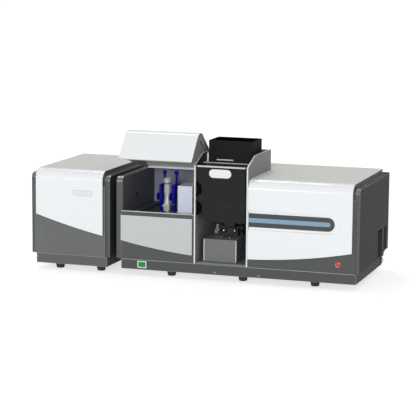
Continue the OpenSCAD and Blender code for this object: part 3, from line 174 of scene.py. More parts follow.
PAPER_REACH = 30
PAPER_GLOW = 0.66
floor_material = bpy.data.materials.new("floor_paper")
paper = Finish(floor_material)
paper.feed(paper.tree.nodes["Principled BSDF"], {
    "Base Color": rgb(222, 222, 222),
    "Roughness": 0.9,
    "Specular IOR Level": 0.0,
    "Emission Color": STUDIO_WHITE,
    "Emission Strength": paper.seen() * PAPER_GLOW,
})
corners = [(x * PAPER_REACH, y * PAPER_REACH, 0) for x, y in ((-1, -1), (1, -1), (1, 1), (-1, 1))]
floor_mesh = bpy.data.meshes.new("floor")
floor_mesh.from_pydata(corners, [], [(0, 1, 2, 3)])
floor_mesh.materials.append(floor_material)
floor = bpy.data.objects.new("floor", floor_mesh)
scene.collection.objects.link(floor)


# Bases
# Each cabinet stands on a pressed steel pan with a skirt set back from the body. Sheet steel, folded,
# then powder coated grey: a fine orange peel with a slow drift of tone. Its edges are painted light
# grey: a painted highlight.
class Coat(Finish):
    """A material on the Principled shader, with grain laid in metres on the piece's own place."""

    def __init__(self, name):
        self.material = bpy.data.materials.new(name)
        super().__init__(self.material)
        self.place = self.node("ShaderNodeTexCoord", out="Object")

    def noise(self, per_metre, detail=2.0, stretch=(1, 1, 1)):
        place = self.node("ShaderNodeMapping", None, {"Vector": self.place, "Scale": stretch})
        inputs = {"Vector": place, "Scale": per_metre, "Detail": detail}
        return self.node("ShaderNodeTexNoise", None, inputs)

    def mix(self, share, first, second):
        """One colour into another. A Mix node takes colours at 6 and 7, and gives one at 2."""
        inputs = {0: share, 6: first, 7: second}
        return self.node("ShaderNodeMix", {"data_type": "RGBA"}, inputs, out=2)

    def along(self, axis):
        return self.node("ShaderNodeSeparateXYZ", None, {0: self.place}, out=axis)

    def bump(self, height, distance, strength=0.6):
        inputs = {"Height": height, "Distance": distance, "Strength": strength}
        return self.node("ShaderNodeBump", None, inputs)

    def set(self, **sockets):
        inputs = {key.replace("_", " "): value for key, value in sockets.items()}
        self.feed(self.tree.nodes["Principled BSDF"], inputs)
        return self.material


def shade(colour, factor):
    return tuple(min(1.0, c * factor) for c in colour[:3]) + (1.0,)


def painted(name, colour, rough, specular=0.3, grain=1400, depth=0.00006, drift=0.03):
    """Powder coat or moulded plastic: fine peel, slow drift of tone, uneven sheen."""
    uneven = 0.12
    coat = Coat(name)
    tone = coat.noise(6.0, detail=3.0)
    speck = coat.noise(grain * 0.6, detail=1.0)
    sheen = coat.noise(70.0)
    return coat.set(
        Base_Color=coat.mix(tone * 0.6 + speck * 0.4, shade(colour, 1 - drift), shade(colour, 1 + drift)),
        Roughness=sheen * uneven + (rough - uneven / 2),
        Specular_IOR_Level=specular,
        Normal=coat.bump(coat.noise(grain), depth),
    )


def round_edges(piece, width, segments):
    """Rounds the corners of a piece with a modifier, which leaves the mesh itself as it is."""
    bevel = piece.modifiers.new("edges", "BEVEL")
    bevel.width = width
    bevel.segments = segments
    bevel.limit_method = "ANGLE"
    bevel.angle_limit = math.radians(32)
    bevel.use_clamp_overlap = False
    return bevel


def dress(names, material, edge=0.0006, segments=2, edge_material=None, merged=True):
    """Gives CAD pieces a finish and rounded edges. Where merged, flat faces count as one first."""
    for name in names.split():
        piece = nodes[name]
        piece.data.materials.clear()
        piece.data.materials.append(material)
        if "custom_normal" in piece.data.attributes:
            piece.data.attributes.remove(piece.data.attributes["custom_normal"])
        piece.data.polygons.foreach_set("material_index", [0] * len(piece.data.polygons))
        piece.data.shade_smooth()
        piece.modifiers.new("weld", "WELD").merge_threshold = 0.00001
        if merged:
            flat = piece.modifiers.new("flat", "DECIMATE")
            flat.decimate_type = "DISSOLVE"
            flat.angle_limit = math.radians(0.1)
            flat.delimit = {"MATERIAL"}
        bevel = round_edges(piece, edge, segments)
        if edge_material:
            piece.data.materials.append(edge_material)
            bevel.material = 1
        piece.modifiers.new("even", "WEIGHTED_NORMAL").weight = 100


# Light grey on the faces of the rounded edges: a painted highlight.
edges_painted_highlight = painted("edges_painted_highlight", rgb(186, 187, 188), rough=0.4, specular=0.4)
skirt_grey = painted("skirt_grey", rgb(88, 90, 90), rough=0.6, specular=0.08)
dress("base_main", skirt_grey, edge=0.0008, edge_material=edges_painted_highlight)
supply_skirt_grey = painted("supply_skirt_grey", rgb(103, 105, 105), rough=0.6, specular=0.08)
dress("base_supply", supply_skirt_grey, edge=0.0008, edge_material=edges_painted_highlight)


# Feet
# Ten round feet pushed into the pans, six under the main cabinet and four under the supply cabinet.
# Dark grey rubber, moulded and matt, with fine pores and some dust.
feet_rubber = Coat("foot_rubber")
dust = feet_rubber.noise(70.0, detail=3.0)
feet_rubber.set(
    Base_Color=feet_rubber.mix(dust * 0.5, rgb(58, 58, 59), rgb(78, 78, 78)),
    Roughness=dust * 0.2 + 0.7,
    Specular_IOR_Level=0.2,
    Normal=feet_rubber.bump(feet_rubber.noise(2200.0, detail=3.0), 0.0001, strength=0.7),
)
dress("feet", feet_rubber.material, edge=0.0012)


# Side panels and rear panels
# Folded sheet steel in dark grey, screwed to the pans. The flats are matt; the rounded corners at
# the front are polished by the forming roll and catch the light. These corners and the bevels are
# also painted a lighter grey than the flats: a painted highlight.
def repaint(name, material, chosen):
    """Another finish on the faces of a CAD piece whose centre and normal are chosen."""
    piece = nodes[name]
    piece.data.materials.append(material)
    index = len(piece.data.materials) - 1
    for face in piece.data.polygons:
        if chosen(face.center, face.normal):
            face.material_index = index


STRAIGHT = 0.999


def turned(normal):
    """True on the curved strips between two flats."""
    return max(abs(normal.x), abs(normal.y), abs(normal.z)) < STRAIGHT


side_panels = "side_panel_left side_panel_right supply_sides"
panel_dark = painted("panel_dark", rgb(72, 72, 73), rough=0.6, specular=0.05)
# Lighter greys on the bevels and on the rounded front corners: a painted highlight.
panel_edges_painted_highlight = painted("panel_edges_painted_highlight", rgb(112, 113, 114), rough=0.4, specular=0.4)
panel_front = painted("panel_front", rgb(96, 97, 97), rough=0.55, specular=0.1)
corners_gloss_painted_highlight = painted("corners_gloss_painted_highlight", rgb(92, 93, 95), rough=0.17, specular=1.0, depth=0.000005)
bay_side = painted("bay_side", rgb(106, 107, 113), rough=0.5, specular=0.1)
dress(side_panels, panel_dark, edge=0.0008, edge_material=panel_edges_painted_highlight)
dress("rear_panel_main", panel_dark)
dress("supply_rear_panel", panel_dark, edge=0.0004, segments=1, merged=False)
front_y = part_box("side_panel_left")[0].y + 0.0005
for name in side_panels.split():
    repaint(name, corners_gloss_painted_highlight, lambda centre, normal: turned(normal))
    repaint(name, panel_front, lambda centre, normal: normal.y < -STRAIGHT and centre.y < front_y)
repaint("side_panel_left", bay_side, lambda centre, normal: normal.x > STRAIGHT)


# Covers
# Three white moulded covers: over the optics, over the rear deck and over the supply cabinet. Each
# is a glossy shell that clips on the sheet steel; its flat top is duller, and the ends of the optics
# cover and the supply cover are painted dark grey where they meet the side panels.
RIM_DEPTH = 0.004
RIM_LOW, RIM_HIGH = 0.19, 0.32
RIM_END = 0.63
shell_white = painted("shell_white", rgb(243, 246, 248), rough=0.3, specular=0.45,
                      grain=1700, depth=0.00002, drift=0.012)
shell_top = painted("shell_top", rgb(240, 240, 237), rough=0.6, specular=0.1,
                    grain=1700, depth=0.00002, drift=0.012)
shell_curve = painted("shell_curve", rgb(243, 246, 248), rough=0.16, specular=0.5,
                      grain=1700, depth=0.00001, drift=0.012)
end_grey = painted("end_grey", rgb(104, 105, 106), rough=0.5, specular=0.15)
# The rim round the stripe's recess is painted a light grey: painted shade in the recess.
recess_rim_painted_shade = painted("recess_rim_painted_shade", rgb(196, 200, 203), rough=0.5, specular=0.2)
cover_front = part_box("optics_cover")[0].y


def crosswise(centre, normal):
    """True on the faces that look left or right."""
    return abs(normal.x) > 0.9


def on_recess_rim(centre, normal):
    """True on the rim round the left end of the recess that holds the stripe."""
    aside = abs(normal.y) < 0.95 and abs(normal.z) > 0.01
    near_front = cover_front < centre.y < cover_front + RIM_DEPTH
    return aside and near_front and RIM_LOW < centre.z < RIM_HIGH and centre.x < RIM_END


covers = "optics_cover supply_cover rear_deck_cover"
dress(covers, shell_white, edge=0.0012, segments=3, edge_material=shell_curve)
for name in covers.split():
    repaint(name, shell_top, lambda centre, normal: normal.z > STRAIGHT)
    repaint(name, shell_curve, lambda centre, normal: turned(normal) and abs(normal.x) < 0.1)
repaint("optics_cover", end_grey, crosswise)
repaint("supply_cover", end_grey, crosswise)
# Painted shade on the recess rim.
repaint("optics_cover", recess_rim_painted_shade, on_recess_rim)


# Lower fronts
# Folded and painted steel sheets below the covers' curved edges, one screwed to the front of each
# cabinet. The supply cabinet's is lighter.
lower_grey = painted("lower_grey", rgb(90, 91, 91), rough=0.55, specular=0.1)
# Its rounded edges carry the light grey painted highlight.
dress("lower_fronts", lower_grey, edge=0.0009, edge_material=edges_painted_highlight)
dress("supply_lower_front", painted("supply_lower_grey", rgb(112, 114, 113), rough=0.55, specular=0.1))


# Fascia inlay
# A light grey panel with a curved lower edge, on the fascia below the furnace bay. Moulded plastic,
# glued on.
inlay_grey = painted("inlay_grey", rgb(200, 204, 205), rough=0.42, depth=0.00003)
dress("fascia_inlay", inlay_grey, edge=0.0008)


# Stripe
# A dark recessed band across the optics cover with a blue strip along its middle. The band is matt
# plastic; the strip is clear plastic with blue lacquer behind, laid in the band.
STRIP_DEPTH = 0.0009
strip_blue = Coat("strip_blue")
cloud = strip_blue.noise(25.0)
strip_blue.set(
    Base_Color=strip_blue.mix(cloud, rgb(122, 156, 184), rgb(132, 164, 190)),
    Roughness=cloud * 0.08 + 0.22,
    Coat_Weight=0.3,
    Normal=strip_blue.bump(strip_blue.noise(900.0), 0.00002, strength=0.4),
)
dress("stripe_band", painted("band_dark", rgb(78, 79, 79), rough=0.45, specular=0.15), edge=0.0003)
strip_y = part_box("stripe_band")[0].y + STRIP_DEPTH
repaint("stripe_band", strip_blue.material, lambda centre, normal: centre.y < strip_y)


# Furnace bay
# A painted steel tray behind the fascia, and one steel wall behind both bays, screwed to the left
# side panel and to the right bay plate. The tray is dark grey and the wall a bluish grey.
dress("furnace_bay_floor", painted("tray_dark", rgb(84, 86, 84), rough=0.5, specular=0.12))
bay_wall = Coat("bay_wall")
wall_tone = bay_wall.noise(7.0, detail=3.0)
bay_wall.set(
    Base_Color=bay_wall.mix(wall_tone, rgb(120, 121, 134), rgb(128, 129, 141)),
    Roughness=wall_tone * 0.1 + 0.5,
    Specular_IOR_Level=0.12,
    Normal=bay_wall.bump(bay_wall.noise(1200.0), 0.00006),
)
dress("bay_back_wall", bay_wall.material, edge=0.0003)


# Lid
# The furnace bay's raised lid: a white moulded shell with a folded lip along its lower edge, on two
# side plates of coarse grey plastic that turn on pins at the rear. An inset is moulded in the right
# plate; on it a rib is drawn as a lighter strip, a painted highlight, and a groove as a black strip,
# painted shade.
dress("furnace_lid", shell_white, edge=0.0012, segments=3, edge_material=shell_curve)
repaint("furnace_lid", end_grey, crosswise)
lip_beige = painted("lip_beige", rgb(236, 234, 227), rough=0.5, specular=0.2)
repaint("furnace_lid", lip_beige, lambda centre, normal: normal.y < -0.5 and normal.z < -0.6)
repaint("furnace_lid", shell_top, lambda centre, normal: normal.y > 0.6 and normal.z > 0.72)
side_texture = painted("side_texture", rgb(150, 152, 151), rough=0.6, specular=0.15,
                       grain=700, depth=0.00012, drift=0.06)
# The side plates' rounded edges carry the light grey painted highlight.
dress("lid_side_plates", side_texture, edge=0.0008, edge_material=edges_painted_highlight)

MM = 1000
ORIGIN_X, ORIGIN_Y = 315.3, 231.549
SIDE = ((0, 1, 0), (0, 0, 1))


def row(x, y, z):
    """A point of the instrument, in mm from its left side, its front and the bench, in the frame."""
    return Vector((x - ORIGIN_X, y - ORIGIN_Y, z)) / MM


def rounded(points, radius, steps=8):
    """A polygon with its corners rounded, as points in its own plane, in mm."""
    out = []
    for i, corner in enumerate(points):
        corner = Vector(corner)
        back = (Vector(points[i - 1]) - corner).normalized()
        on = (Vector(points[(i + 1) % len(points)]) - corner).normalized()
        half = back.angle(on) / 2
        centre = corner + (back + on).normalized() * radius / math.sin(half)
        start = corner + back * radius / math.tan(half) - centre
        end = corner + on * radius / math.tan(half) - centre
        first = math.atan2(start.y, start.x)
        turn = (math.atan2(end.y, end.x) - first + math.pi) % (2 * math.pi) - math.pi
        for k in range(steps + 1):
            a = first + turn * k / steps
            out.append((centre.x + radius * math.cos(a), centre.y + radius * math.sin(a)))
    return out


def settled(name, mesh, material, body, edge):
    """Makes a piece of a bmesh, softens its edges, and puts it on its body with its finish."""
    bmesh.ops.recalc_face_normals(mesh, faces=mesh.faces)
    data = bpy.data.meshes.new(name)
    mesh.to_mesh(data)
    mesh.free()
    data.shade_smooth()
    data.materials.append(material)
    piece = bpy.data.objects.new(name, data)
    scene.collection.objects.link(piece)
    if edge:
        round_edges(piece, edge, 2)
    piece.modifiers.new("even", "WEIGHTED_NORMAL").weight = 100
    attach(piece, body)


def laid_plate(name, outline, origin, across, rise, thick, material, body, slot, edge=0.0002):
    """A thin plate on a face. The outline is in mm along two directions from the origin."""
    across, rise = Vector(across), Vector(rise)
    lift = across.cross(rise).normalized() * thick
    mesh = bmesh.new()
    flat = [Vector(origin) + across * a + rise * b for a, b in outline]
    under = [mesh.verts.new(row(*point)) for point in flat]
    over = [mesh.verts.new(row(*(point + lift))) for point in flat]
    mesh.faces.new(under[::-1])
    mesh.faces.new(over)
    for i in range(len(flat)):
        j = (i + 1) % len(flat)
        mesh.faces.new((under[i], under[j], over[j], over[i]))
    settled(name, mesh, material, body, edge)


LID_SIDE = 332.4
INSET_THICK = 0.3
inset = rounded(((-14, 484), (42, 556), (86, 552), (226, 424)), 10)
laid_plate("lid_inset_right", inset, (LID_SIDE, 0, 0), *SIDE, INSET_THICK,
           side_texture, "lid", "side_plate")
on_inset = (LID_SIDE + INSET_THICK, 0, 0)
# A lighter strip for the rib: a painted highlight.
rib_painted_highlight = painted("rib_painted_highlight", rgb(176, 178, 178), rough=0.5, specular=0.2, grain=700, depth=0.0001)
rib = rounded(((50, 556), (60, 560), (150, 497), (140, 491)), 4)
laid_plate("lid_rib_right", rib, on_inset, *SIDE, 0.25, rib_painted_highlight, "lid", "side_plate", edge=0.0001)
# A thin black strip for the groove: painted shade.
groove_painted_shade = painted("groove_painted_shade", rgb(26, 27, 28), rough=0.6, specular=0.05)
groove = rounded(((48, 549), (57, 553), (134, 505), (125, 499)), 4)
laid_plate("lid_groove_right", groove, on_inset, *SIDE, 0.2,
           groove_painted_shade, "lid", "side_plate", edge=0.0001)


# Flame bay plates
# Two steel plates stand on either side of the flame bay and rise above the covers. Cut from sheet,
# powder coated grey, and bolted to the pan. Their edges are painted a light metallic grey: a painted
# highlight.
plate_grey = painted("plate_grey", rgb(140, 142, 144), rough=0.5, specular=0.2)
# A light metallic grey on the plates' edges: a painted highlight.
plate_edges_painted_highlight = Coat("plate_edges_painted_highlight")
brush = plate_edges_painted_highlight.noise(500.0, detail=3.0, stretch=(8, 1, 1))
plate_edges_painted_highlight.set(
    Base_Color=plate_edges_painted_highlight.mix(brush, rgb(206, 207, 208), rgb(226, 226, 226)),
    Metallic=0.3,
    Roughness=brush * 0.2 + 0.35,
    Normal=plate_edges_painted_highlight.bump(brush, 0.00003, strength=0.5),
)
for name in ("bay_plate_left", "bay_plate_right"):
    dress(name, plate_grey, edge=0.0008, segments=3)
    repaint(name, plate_edges_painted_highlight.material, lambda centre, normal: abs(normal.x) < 0.5)
# The left plate's inner face is a lighter grey below the beam and near black above it.
plate_inner = Coat("plate_dark_above_beam")
beam_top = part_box("door_header")[1].z
plate_inner_tone = plate_inner.noise(8.0, detail=3.0)
plate_inner_grey = plate_inner.mix(plate_inner_tone, rgb(150, 152, 154), rgb(158, 160, 162))
plate_inner.set(
    Base_Color=plate_inner.mix(plate_inner.along("Z") > beam_top, plate_inner_grey, rgb(34, 34, 35)),
    Roughness=plate_inner_tone * 0.1 + 0.5,
    Specular_IOR_Level=0.15,
    Normal=plate_inner.bump(plate_inner.noise(1400.0), 0.00006),
)
repaint("bay_plate_left", plate_inner.material, lambda centre, normal: normal.x > 0.9)


# Flame bay floor and roof
# The floor is the pan's grey sheet. The roof is a folded sheet screwed between the bay plates: its
# low step and the left of its riser are cream, and the rest of it is black.
STEP_TOP = 0.0006
RISER_TOP = 0.0325
RISER_BACK = -0.106
dress("flame_bay_floor", painted("bay_floor_grey", rgb(122, 123, 122), rough=0.5, specular=0.15))
roof = Coat("roof_sheet")
roof_tone = roof.noise(40.0, detail=3.0)
hood_low, hood_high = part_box("chimney_hood")
hood_middle = (hood_low + hood_high) / 2
on_step = roof.along("Z") < beam_top + STEP_TOP
on_riser = (roof.along("X") < hood_middle.x) * (roof.along("Z") < beam_top + RISER_TOP)
cream_part = (roof.along("Y") < RISER_BACK) * ((on_step + on_riser) > 0.5)
cream = roof.mix(roof_tone, rgb(240, 238, 226), rgb(246, 244, 234))
roof.set(
    Base_Color=roof.mix(cream_part, rgb(12, 12, 12), cream),
    Roughness=roof_tone * 0.1 + 0.55,
    Specular_IOR_Level=0.08,
    Normal=roof.bump(roof.noise(1200.0), 0.00006),
)
dress("flame_bay_top", roof.material)


# Beam and hood
# The beam over the door is black steel with a bright bar in front. The hood above is folded black
# sheet that stands on the roof: it widens from its throat, is open at the top, and has a plain light
# strip glued on its front.
BAR_DEPTH = 0.0099
HOOD_SLOPE = (0, 0.644, 0.765)
STRIP_PLACE = (421.5, 104.6, 470.7)
bar_bright = Coat("bar_bright")
brush = bar_bright.noise(600.0, detail=3.0, stretch=(0.1, 1, 1))
bar_bright.set(
    Base_Color=bar_bright.mix(brush, rgb(176, 177, 186), rgb(200, 201, 208)),
    Metallic=0.35,
    Roughness=brush * 0.15 + 0.3,
    Normal=bar_bright.bump(brush, 0.00003, strength=0.5),
)
dress("door_header", painted("steel_black", rgb(8, 8, 9), rough=0.5, specular=0.1))
bar_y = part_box("door_header")[0].y + BAR_DEPTH
repaint("door_header", bar_bright.material, lambda centre, normal: centre.y < bar_y)
dress("chimney_hood", painted("hood_black", rgb(36, 36, 34), rough=0.65, specular=0.03))


def in_hood(centre, normal):
    """True on the hood's inner walls, whose normals point to its middle."""
    towards = normal.x * (hood_middle.x - centre.x) + normal.y * (hood_middle.y - centre.y)
    return normal.z < 0.9 and towards > 0.02


def oblong(low_a, high_a, low_b, high_b, radius, steps=8):
    """A rectangle with rounded corners, for an outline."""
    return rounded(((low_a, low_b), (high_a, low_b), (high_a, high_b), (low_a, high_b)), radius, steps)


# The hood's inner walls are painted near black: painted shade inside the hood.
repaint("chimney_hood", painted("hood_inside_painted_shade", rgb(2, 2, 2), rough=0.7, specular=0.02), in_hood)
strip_grey = painted("strip_grey", rgb(196, 197, 199), rough=0.4)
laid_plate("hood_plate", oblong(-35, 35, -2.6, 2.6, 2.5), STRIP_PLACE, (1, 0, 0), HOOD_SLOPE, 0.5,
           strip_grey, "cabinets", "light_inlay")


# Door
# Smoked glass with two round-ended black clamps on its left edge. Each clamp turns on a pin between
# lugs of the left plate; the lid's pins are of the same bright steel.
smoked = Coat("smoked_glass")
smear = smoked.noise(9.0, detail=3.0)
smoked.set(
    Base_Color=smoked.mix(smear, rgb(27, 30, 31), rgb(34, 37, 38)),
    Roughness=smear * 0.08 + 0.06,
    Specular_IOR_Level=0.2,
    Alpha=0.86,
)
dress("flame_door", smoked.material)
clamp_black = painted("clamp_black", rgb(3, 3, 4), rough=0.6, specular=0.03)
dress("door_clamps", clamp_black, edge=0.0004)


def metal(name, colour, rough, stretch=(1, 1, 1), lines=500, depth=0.00003):
    """Bare metal with brush lines across the direction of the largest stretch."""
    uneven = 0.16
    coat = Coat(name)
    lines_on = coat.noise(lines, detail=3.0, stretch=stretch)
    tone = coat.noise(14.0)
    return coat.set(
        Base_Color=coat.mix(tone, shade(colour, 0.93), shade(colour, 1.04)),
        Metallic=1.0,
        Roughness=lines_on * uneven + (rough - uneven / 2),
        Normal=coat.bump(lines_on, depth, strength=0.5),
    )


polished = metal("polished_steel", rgb(214, 215, 218), rough=0.16, stretch=(1, 12, 1))
dress("hinge_pins", polished, edge=0.0003)
flame_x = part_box("bay_plate_left")[1].x - 0.0005
repaint("hinge_pins", clamp_black, lambda centre, normal: centre.x > flame_x)


# Burner stand
# A grey steel box screwed to the bay floor, with light strips on its front corners and a hose bracket
# on top. On it ride a black carriage and a lift plate with bright adjusters, the mixing chamber, and
# the titanium burner head with its slot.
BRACKET_WIDTH = 0.022
dress("burner_box", painted("box_grey", rgb(119, 120, 122), rough=0.5, specular=0.15))
box_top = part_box("burner_carriage")[0].z + 0.0001
bracket_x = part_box("burner_box")[0].x + BRACKET_WIDTH
bracket_grey = painted("bracket_grey", rgb(132, 135, 133), rough=0.45)
repaint("burner_box", bracket_grey, lambda centre, normal: centre.z > box_top and centre.x < bracket_x)
carriage_black = painted("carriage_black", rgb(24, 24, 25), rough=0.4)
dress("burner_carriage burner_lift", carriage_black, edge=0.0005)
chamber_black = painted("chamber_black", rgb(36, 36, 37), rough=0.5, specular=0.25)
dress("mixing_chamber", chamber_black, edge=0.0008)
titanium = metal("head_titanium", rgb(178, 177, 174), rough=0.35, stretch=(1, 1, 12))
dress("burner_head", titanium, edge=0.0003)
dress("lift_knob traverse_knob", polished, edge=0.0002)
FRONT = ((1, 0, 0), (0, 0, 1))
BOX_FRONT = 20
strip_light = painted("strip_light", rgb(232, 233, 234), rough=0.4)
for side, x in (("left", 363), ("right", 496)):
    strip = oblong(x, x + 3, 76, 163.5, 0.8, 3)
    laid_plate(f"burner_strip_{side}", strip, (0, BOX_FRONT, 0), *FRONT, 0.6,
               strip_light, "cabinets", "bay_plate")


# Furnace
# Blue anodised jaws with their clamp knobs hold a graphite tube in a glassy cream body under a clear
# cap. Beside it stands the pale enamelled box that feeds it with current.
def turned_piece(name, profile, base, axis, material, steps=28, edge=0.0, closed=False):
    """A turned part: a profile of (radius, height) in mm, turned about an axis from its base."""
    axis = Vector(axis).normalized()
    side = axis.orthogonal().normalized()
    other = axis.cross(side)
    mesh = bmesh.new()
    rings = []
    for radius, height in profile:
        ring = []
        for i in range(steps):
            a = 2 * math.pi * i / steps
            spoke = (side * math.cos(a) + other * math.sin(a)) * radius
            ring.append(mesh.verts.new(row(*(Vector(base) + axis * height + spoke))))
        rings.append(ring)
    for low, high in zip(rings, rings[1:] + (rings[:1] if closed else [])):
        for i in range(steps):
            j = (i + 1) % steps
            mesh.faces.new((low[i], low[j], high[j], high[i]))
    if not closed:
        mesh.faces.new(rings[0][::-1])
        mesh.faces.new(rings[-1])
    settled(name, mesh, material, "cabinets", edge)


furnace_cream = Coat("furnace_cream")
milk = furnace_cream.noise(60.0, detail=3.0)
furnace_cream.set(
    Base_Color=furnace_cream.mix(milk, rgb(168, 172, 171), rgb(202, 203, 196)),
    Roughness=milk * 0.15 + 0.18,
    Coat_Weight=0.4,
    Normal=furnace_cream.bump(furnace_cream.noise(800.0), 0.00003),
)
dress("furnace_base furnace_body", furnace_cream.material, edge=0.0004)
anodised = Coat("anodised_blue")
dye = anodised.noise(90.0, detail=3.0)
anodised.set(
    Base_Color=anodised.mix(dye, rgb(4, 0, 96), rgb(14, 0, 164)),
    Metallic=0.1,
    Roughness=dye * 0.2 + 0.3,
    Specular_IOR_Level=0.12,
    Normal=anodised.bump(anodised.noise(1500.0), 0.00005, strength=0.5),
)
jaws_and_knobs = "furnace_fixed_jaw furnace_moving_jaw furnace_knob_left furnace_knob_right"
dress(jaws_and_knobs, anodised.material, edge=0.0005)
box_pale = painted("box_pale", rgb(224, 228, 247), rough=0.38, depth=0.00003)
dress("furnace_supply_box", box_pale, edge=0.0008, segments=3)
cap_clear = Coat("cap_clear")
haze = cap_clear.noise(120.0)
cap_clear.set(
    Base_Color=cap_clear.mix(haze, rgb(186, 190, 190), rgb(214, 217, 216)),
    Roughness=haze * 0.1 + 0.12,
    Coat_Weight=0.5,
    Alpha=0.72,
)
UPWARD = (0, 0, 1)
dome = ((14.6, 0), (15.6, 0.4), (16.2, 2), (16.2, 12), (15.4, 17), (12.6, 20.6), (8, 22.6), (2, 23.4))
turned_piece("furnace_cap", dome, (158, 165, 357), UPWARD, cap_clear.material)
collar = ((14.2, 0), (15.4, 0), (15.8, 0.6), (15.8, 2.2), (15.2, 2.8), (14.2, 2.8))
turned_piece("furnace_collar", collar, (158, 165, 353.5), UPWARD,
             carriage_black, edge=0.0002)
GUSSET_BACK = 149
gusset = rounded(((155, 270.2), (169, 270.2), (168, 306), (164, 306)), 1.2, 3)
laid_plate("furnace_gusset", gusset, (0, GUSSET_BACK, 0), *FRONT, 3,
           strip_light, "cabinets", "furnace_white")
BASE_FRONT = 145
tag = oblong(139, 157, 237, 243, 1)
laid_plate("furnace_base_tag", tag, (0, BASE_FRONT, 0), *FRONT, 0.8,
           anodised.material, "cabinets", "furnace_blue")


# Power switch
# A red button in a thin chromed ring, low on the right of the front. Moulded plastic, pushed in its
# bush from behind; the ring sits a little in the sheet.
FASCIA_FRONT = -8
BEZEL_SUNK = 0.2
FORWARD = (0, -1, 0)
button_red = Coat("button_red")
gloss = button_red.noise(1600.0)
button_red.set(
    Base_Color=button_red.mix(gloss, rgb(206, 28, 36), rgb(220, 42, 46)),
    Roughness=gloss * 0.1 + 0.26,
    Coat_Weight=0.5,
    Normal=button_red.bump(button_red.noise(1200.0), 0.00004, strength=0.4),
)
dress("power_button", button_red.material, edge=0.0008, segments=3)
low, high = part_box("power_button")
button_r = (high.x - low.x) / 2 * MM
button_x = (low.x + high.x) / 2 * MM + ORIGIN_X
button_z = (low.z + high.z) / 2 * MM
bezel = [(button_r + r, h) for r, h in ((0.5, 0), (2.1, 0), (1.9, 0.7), (1.2, 1.1), (0.5, 0.8))]
bezel_base = (button_x, FASCIA_FRONT + BEZEL_SUNK, button_z)
bezel_chrome = metal("bezel_chrome", rgb(190, 160, 160), rough=0.28)
turned_piece("button_ring", bezel, bezel_base, FORWARD, bezel_chrome, steps=36, closed=True)


# Connections and fans at the rear
# Plated gas unions screwed in the skirt, a moulded black mains inlet clipped in the rear panel, and
# two fans in black plastic frames behind the grilles.
union_steel = metal("union_steel", rgb(206, 206, 204), rough=0.2, stretch=(1, 8, 1))
dress("gas_fittings", union_steel, edge=0.0004)
plastic_black = painted("plastic_black", rgb(32, 32, 33), rough=0.5, specular=0.25)
dress("mains_inlet", plastic_black, edge=0.0004)
dress("fan_frames main_fan_rotor supply_fan_rotor", plastic_black, edge=0.0003)


# Inside the cabinets
# Cast and machined aluminium makes the optical bench, the lamp turret with its bracket and the gas
# block. The monochromator and the detector are black, mirrors and lamps glass. A circuit board lies
# under the bench; a ring transformer wound in copper stands in the supply cabinet.
cast = metal("cast_aluminium", rgb(176, 177, 180), rough=0.5, lines=900, depth=0.0001)
dress("optical_bench lamp_turret turret_bracket gas_control_box", cast, edge=0.0005)
optics_black = painted("optics_black", rgb(34, 35, 36), rough=0.45, specular=0.25)
dress("monochromator_case detector", optics_black, edge=0.0005)
lens_glass = Coat("lens_glass")
lens_glass.set(
    Base_Color=lens_glass.mix(lens_glass.noise(60.0), rgb(44, 50, 56), rgb(60, 66, 72)),
    Roughness=lens_glass.noise(200.0) * 0.06 + 0.03,
    Specular_IOR_Level=0.3,
    Alpha=0.6,
)
dress("beam_optics", lens_glass.material, edge=0.0003)
ruled_face = metal("ruled_face", rgb(205, 206, 214), rough=0.12, stretch=(1, 30, 1), lines=2000)
dress("grating", ruled_face, edge=0.0004)
lamp_glass = Coat("lamp_glass")
lamp_glass.set(
    Base_Color=lamp_glass.mix(lamp_glass.noise(40.0), rgb(226, 222, 214), rgb(240, 238, 232)),
    Roughness=lamp_glass.noise(150.0) * 0.1 + 0.05,
    Coat_Weight=0.5,
    Alpha=0.6,
)
dress("hollow_cathode_lamps", lamp_glass.material, edge=0.0004)
board = Coat("circuit_board")
tracks = board.noise(420.0, detail=0.0, stretch=(1, 0.2, 1)) > 0.52
board.set(
    Base_Color=board.mix(tracks, rgb(16, 74, 44), rgb(34, 112, 66)),
    Roughness=tracks * 0.2 + 0.35,
    Normal=board.bump(tracks, 0.00005, strength=0.5),
)
dress("electronics_tray", board.material, edge=0.0003)
winding = Coat("copper_winding")
turns = winding.noise(500.0, detail=1.0, stretch=(1, 1, 0.05))
winding.set(
    Base_Color=winding.mix(turns, rgb(120, 62, 24), rgb(188, 108, 48)),
    Metallic=0.6,
    Roughness=turns * 0.2 + 0.25,
    Coat_Weight=0.4,
    Normal=winding.bump(turns, 0.0004, strength=0.8),
)
dress("transformer", winding.material, edge=0.0005)


# Status lamps
# Five small light pipes in a column in the supply cabinet's lower front: four green, and the lowest
# dim red. Moulded coloured plastic, pushed through the sheet from behind.
LOW_LAMP_HEIGHT = 0.006


def light_pipe(name, dark, light):
    coat = Coat(name)
    deep = coat.noise(900.0)
    return coat.set(Base_Color=coat.mix(deep, dark, light), Roughness=deep * 0.1 + 0.2, Coat_Weight=0.6)


dress("supply_lamps", light_pipe("lamp_green", rgb(52, 158, 76), rgb(92, 200, 112)), edge=0.0004)
low_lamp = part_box("supply_lamps")[0].z + LOW_LAMP_HEIGHT
lamp_red = light_pipe("lamp_red", rgb(122, 74, 72), rgb(146, 88, 84))
repaint("supply_lamps", lamp_red, lambda centre, normal: centre.z < low_lamp)


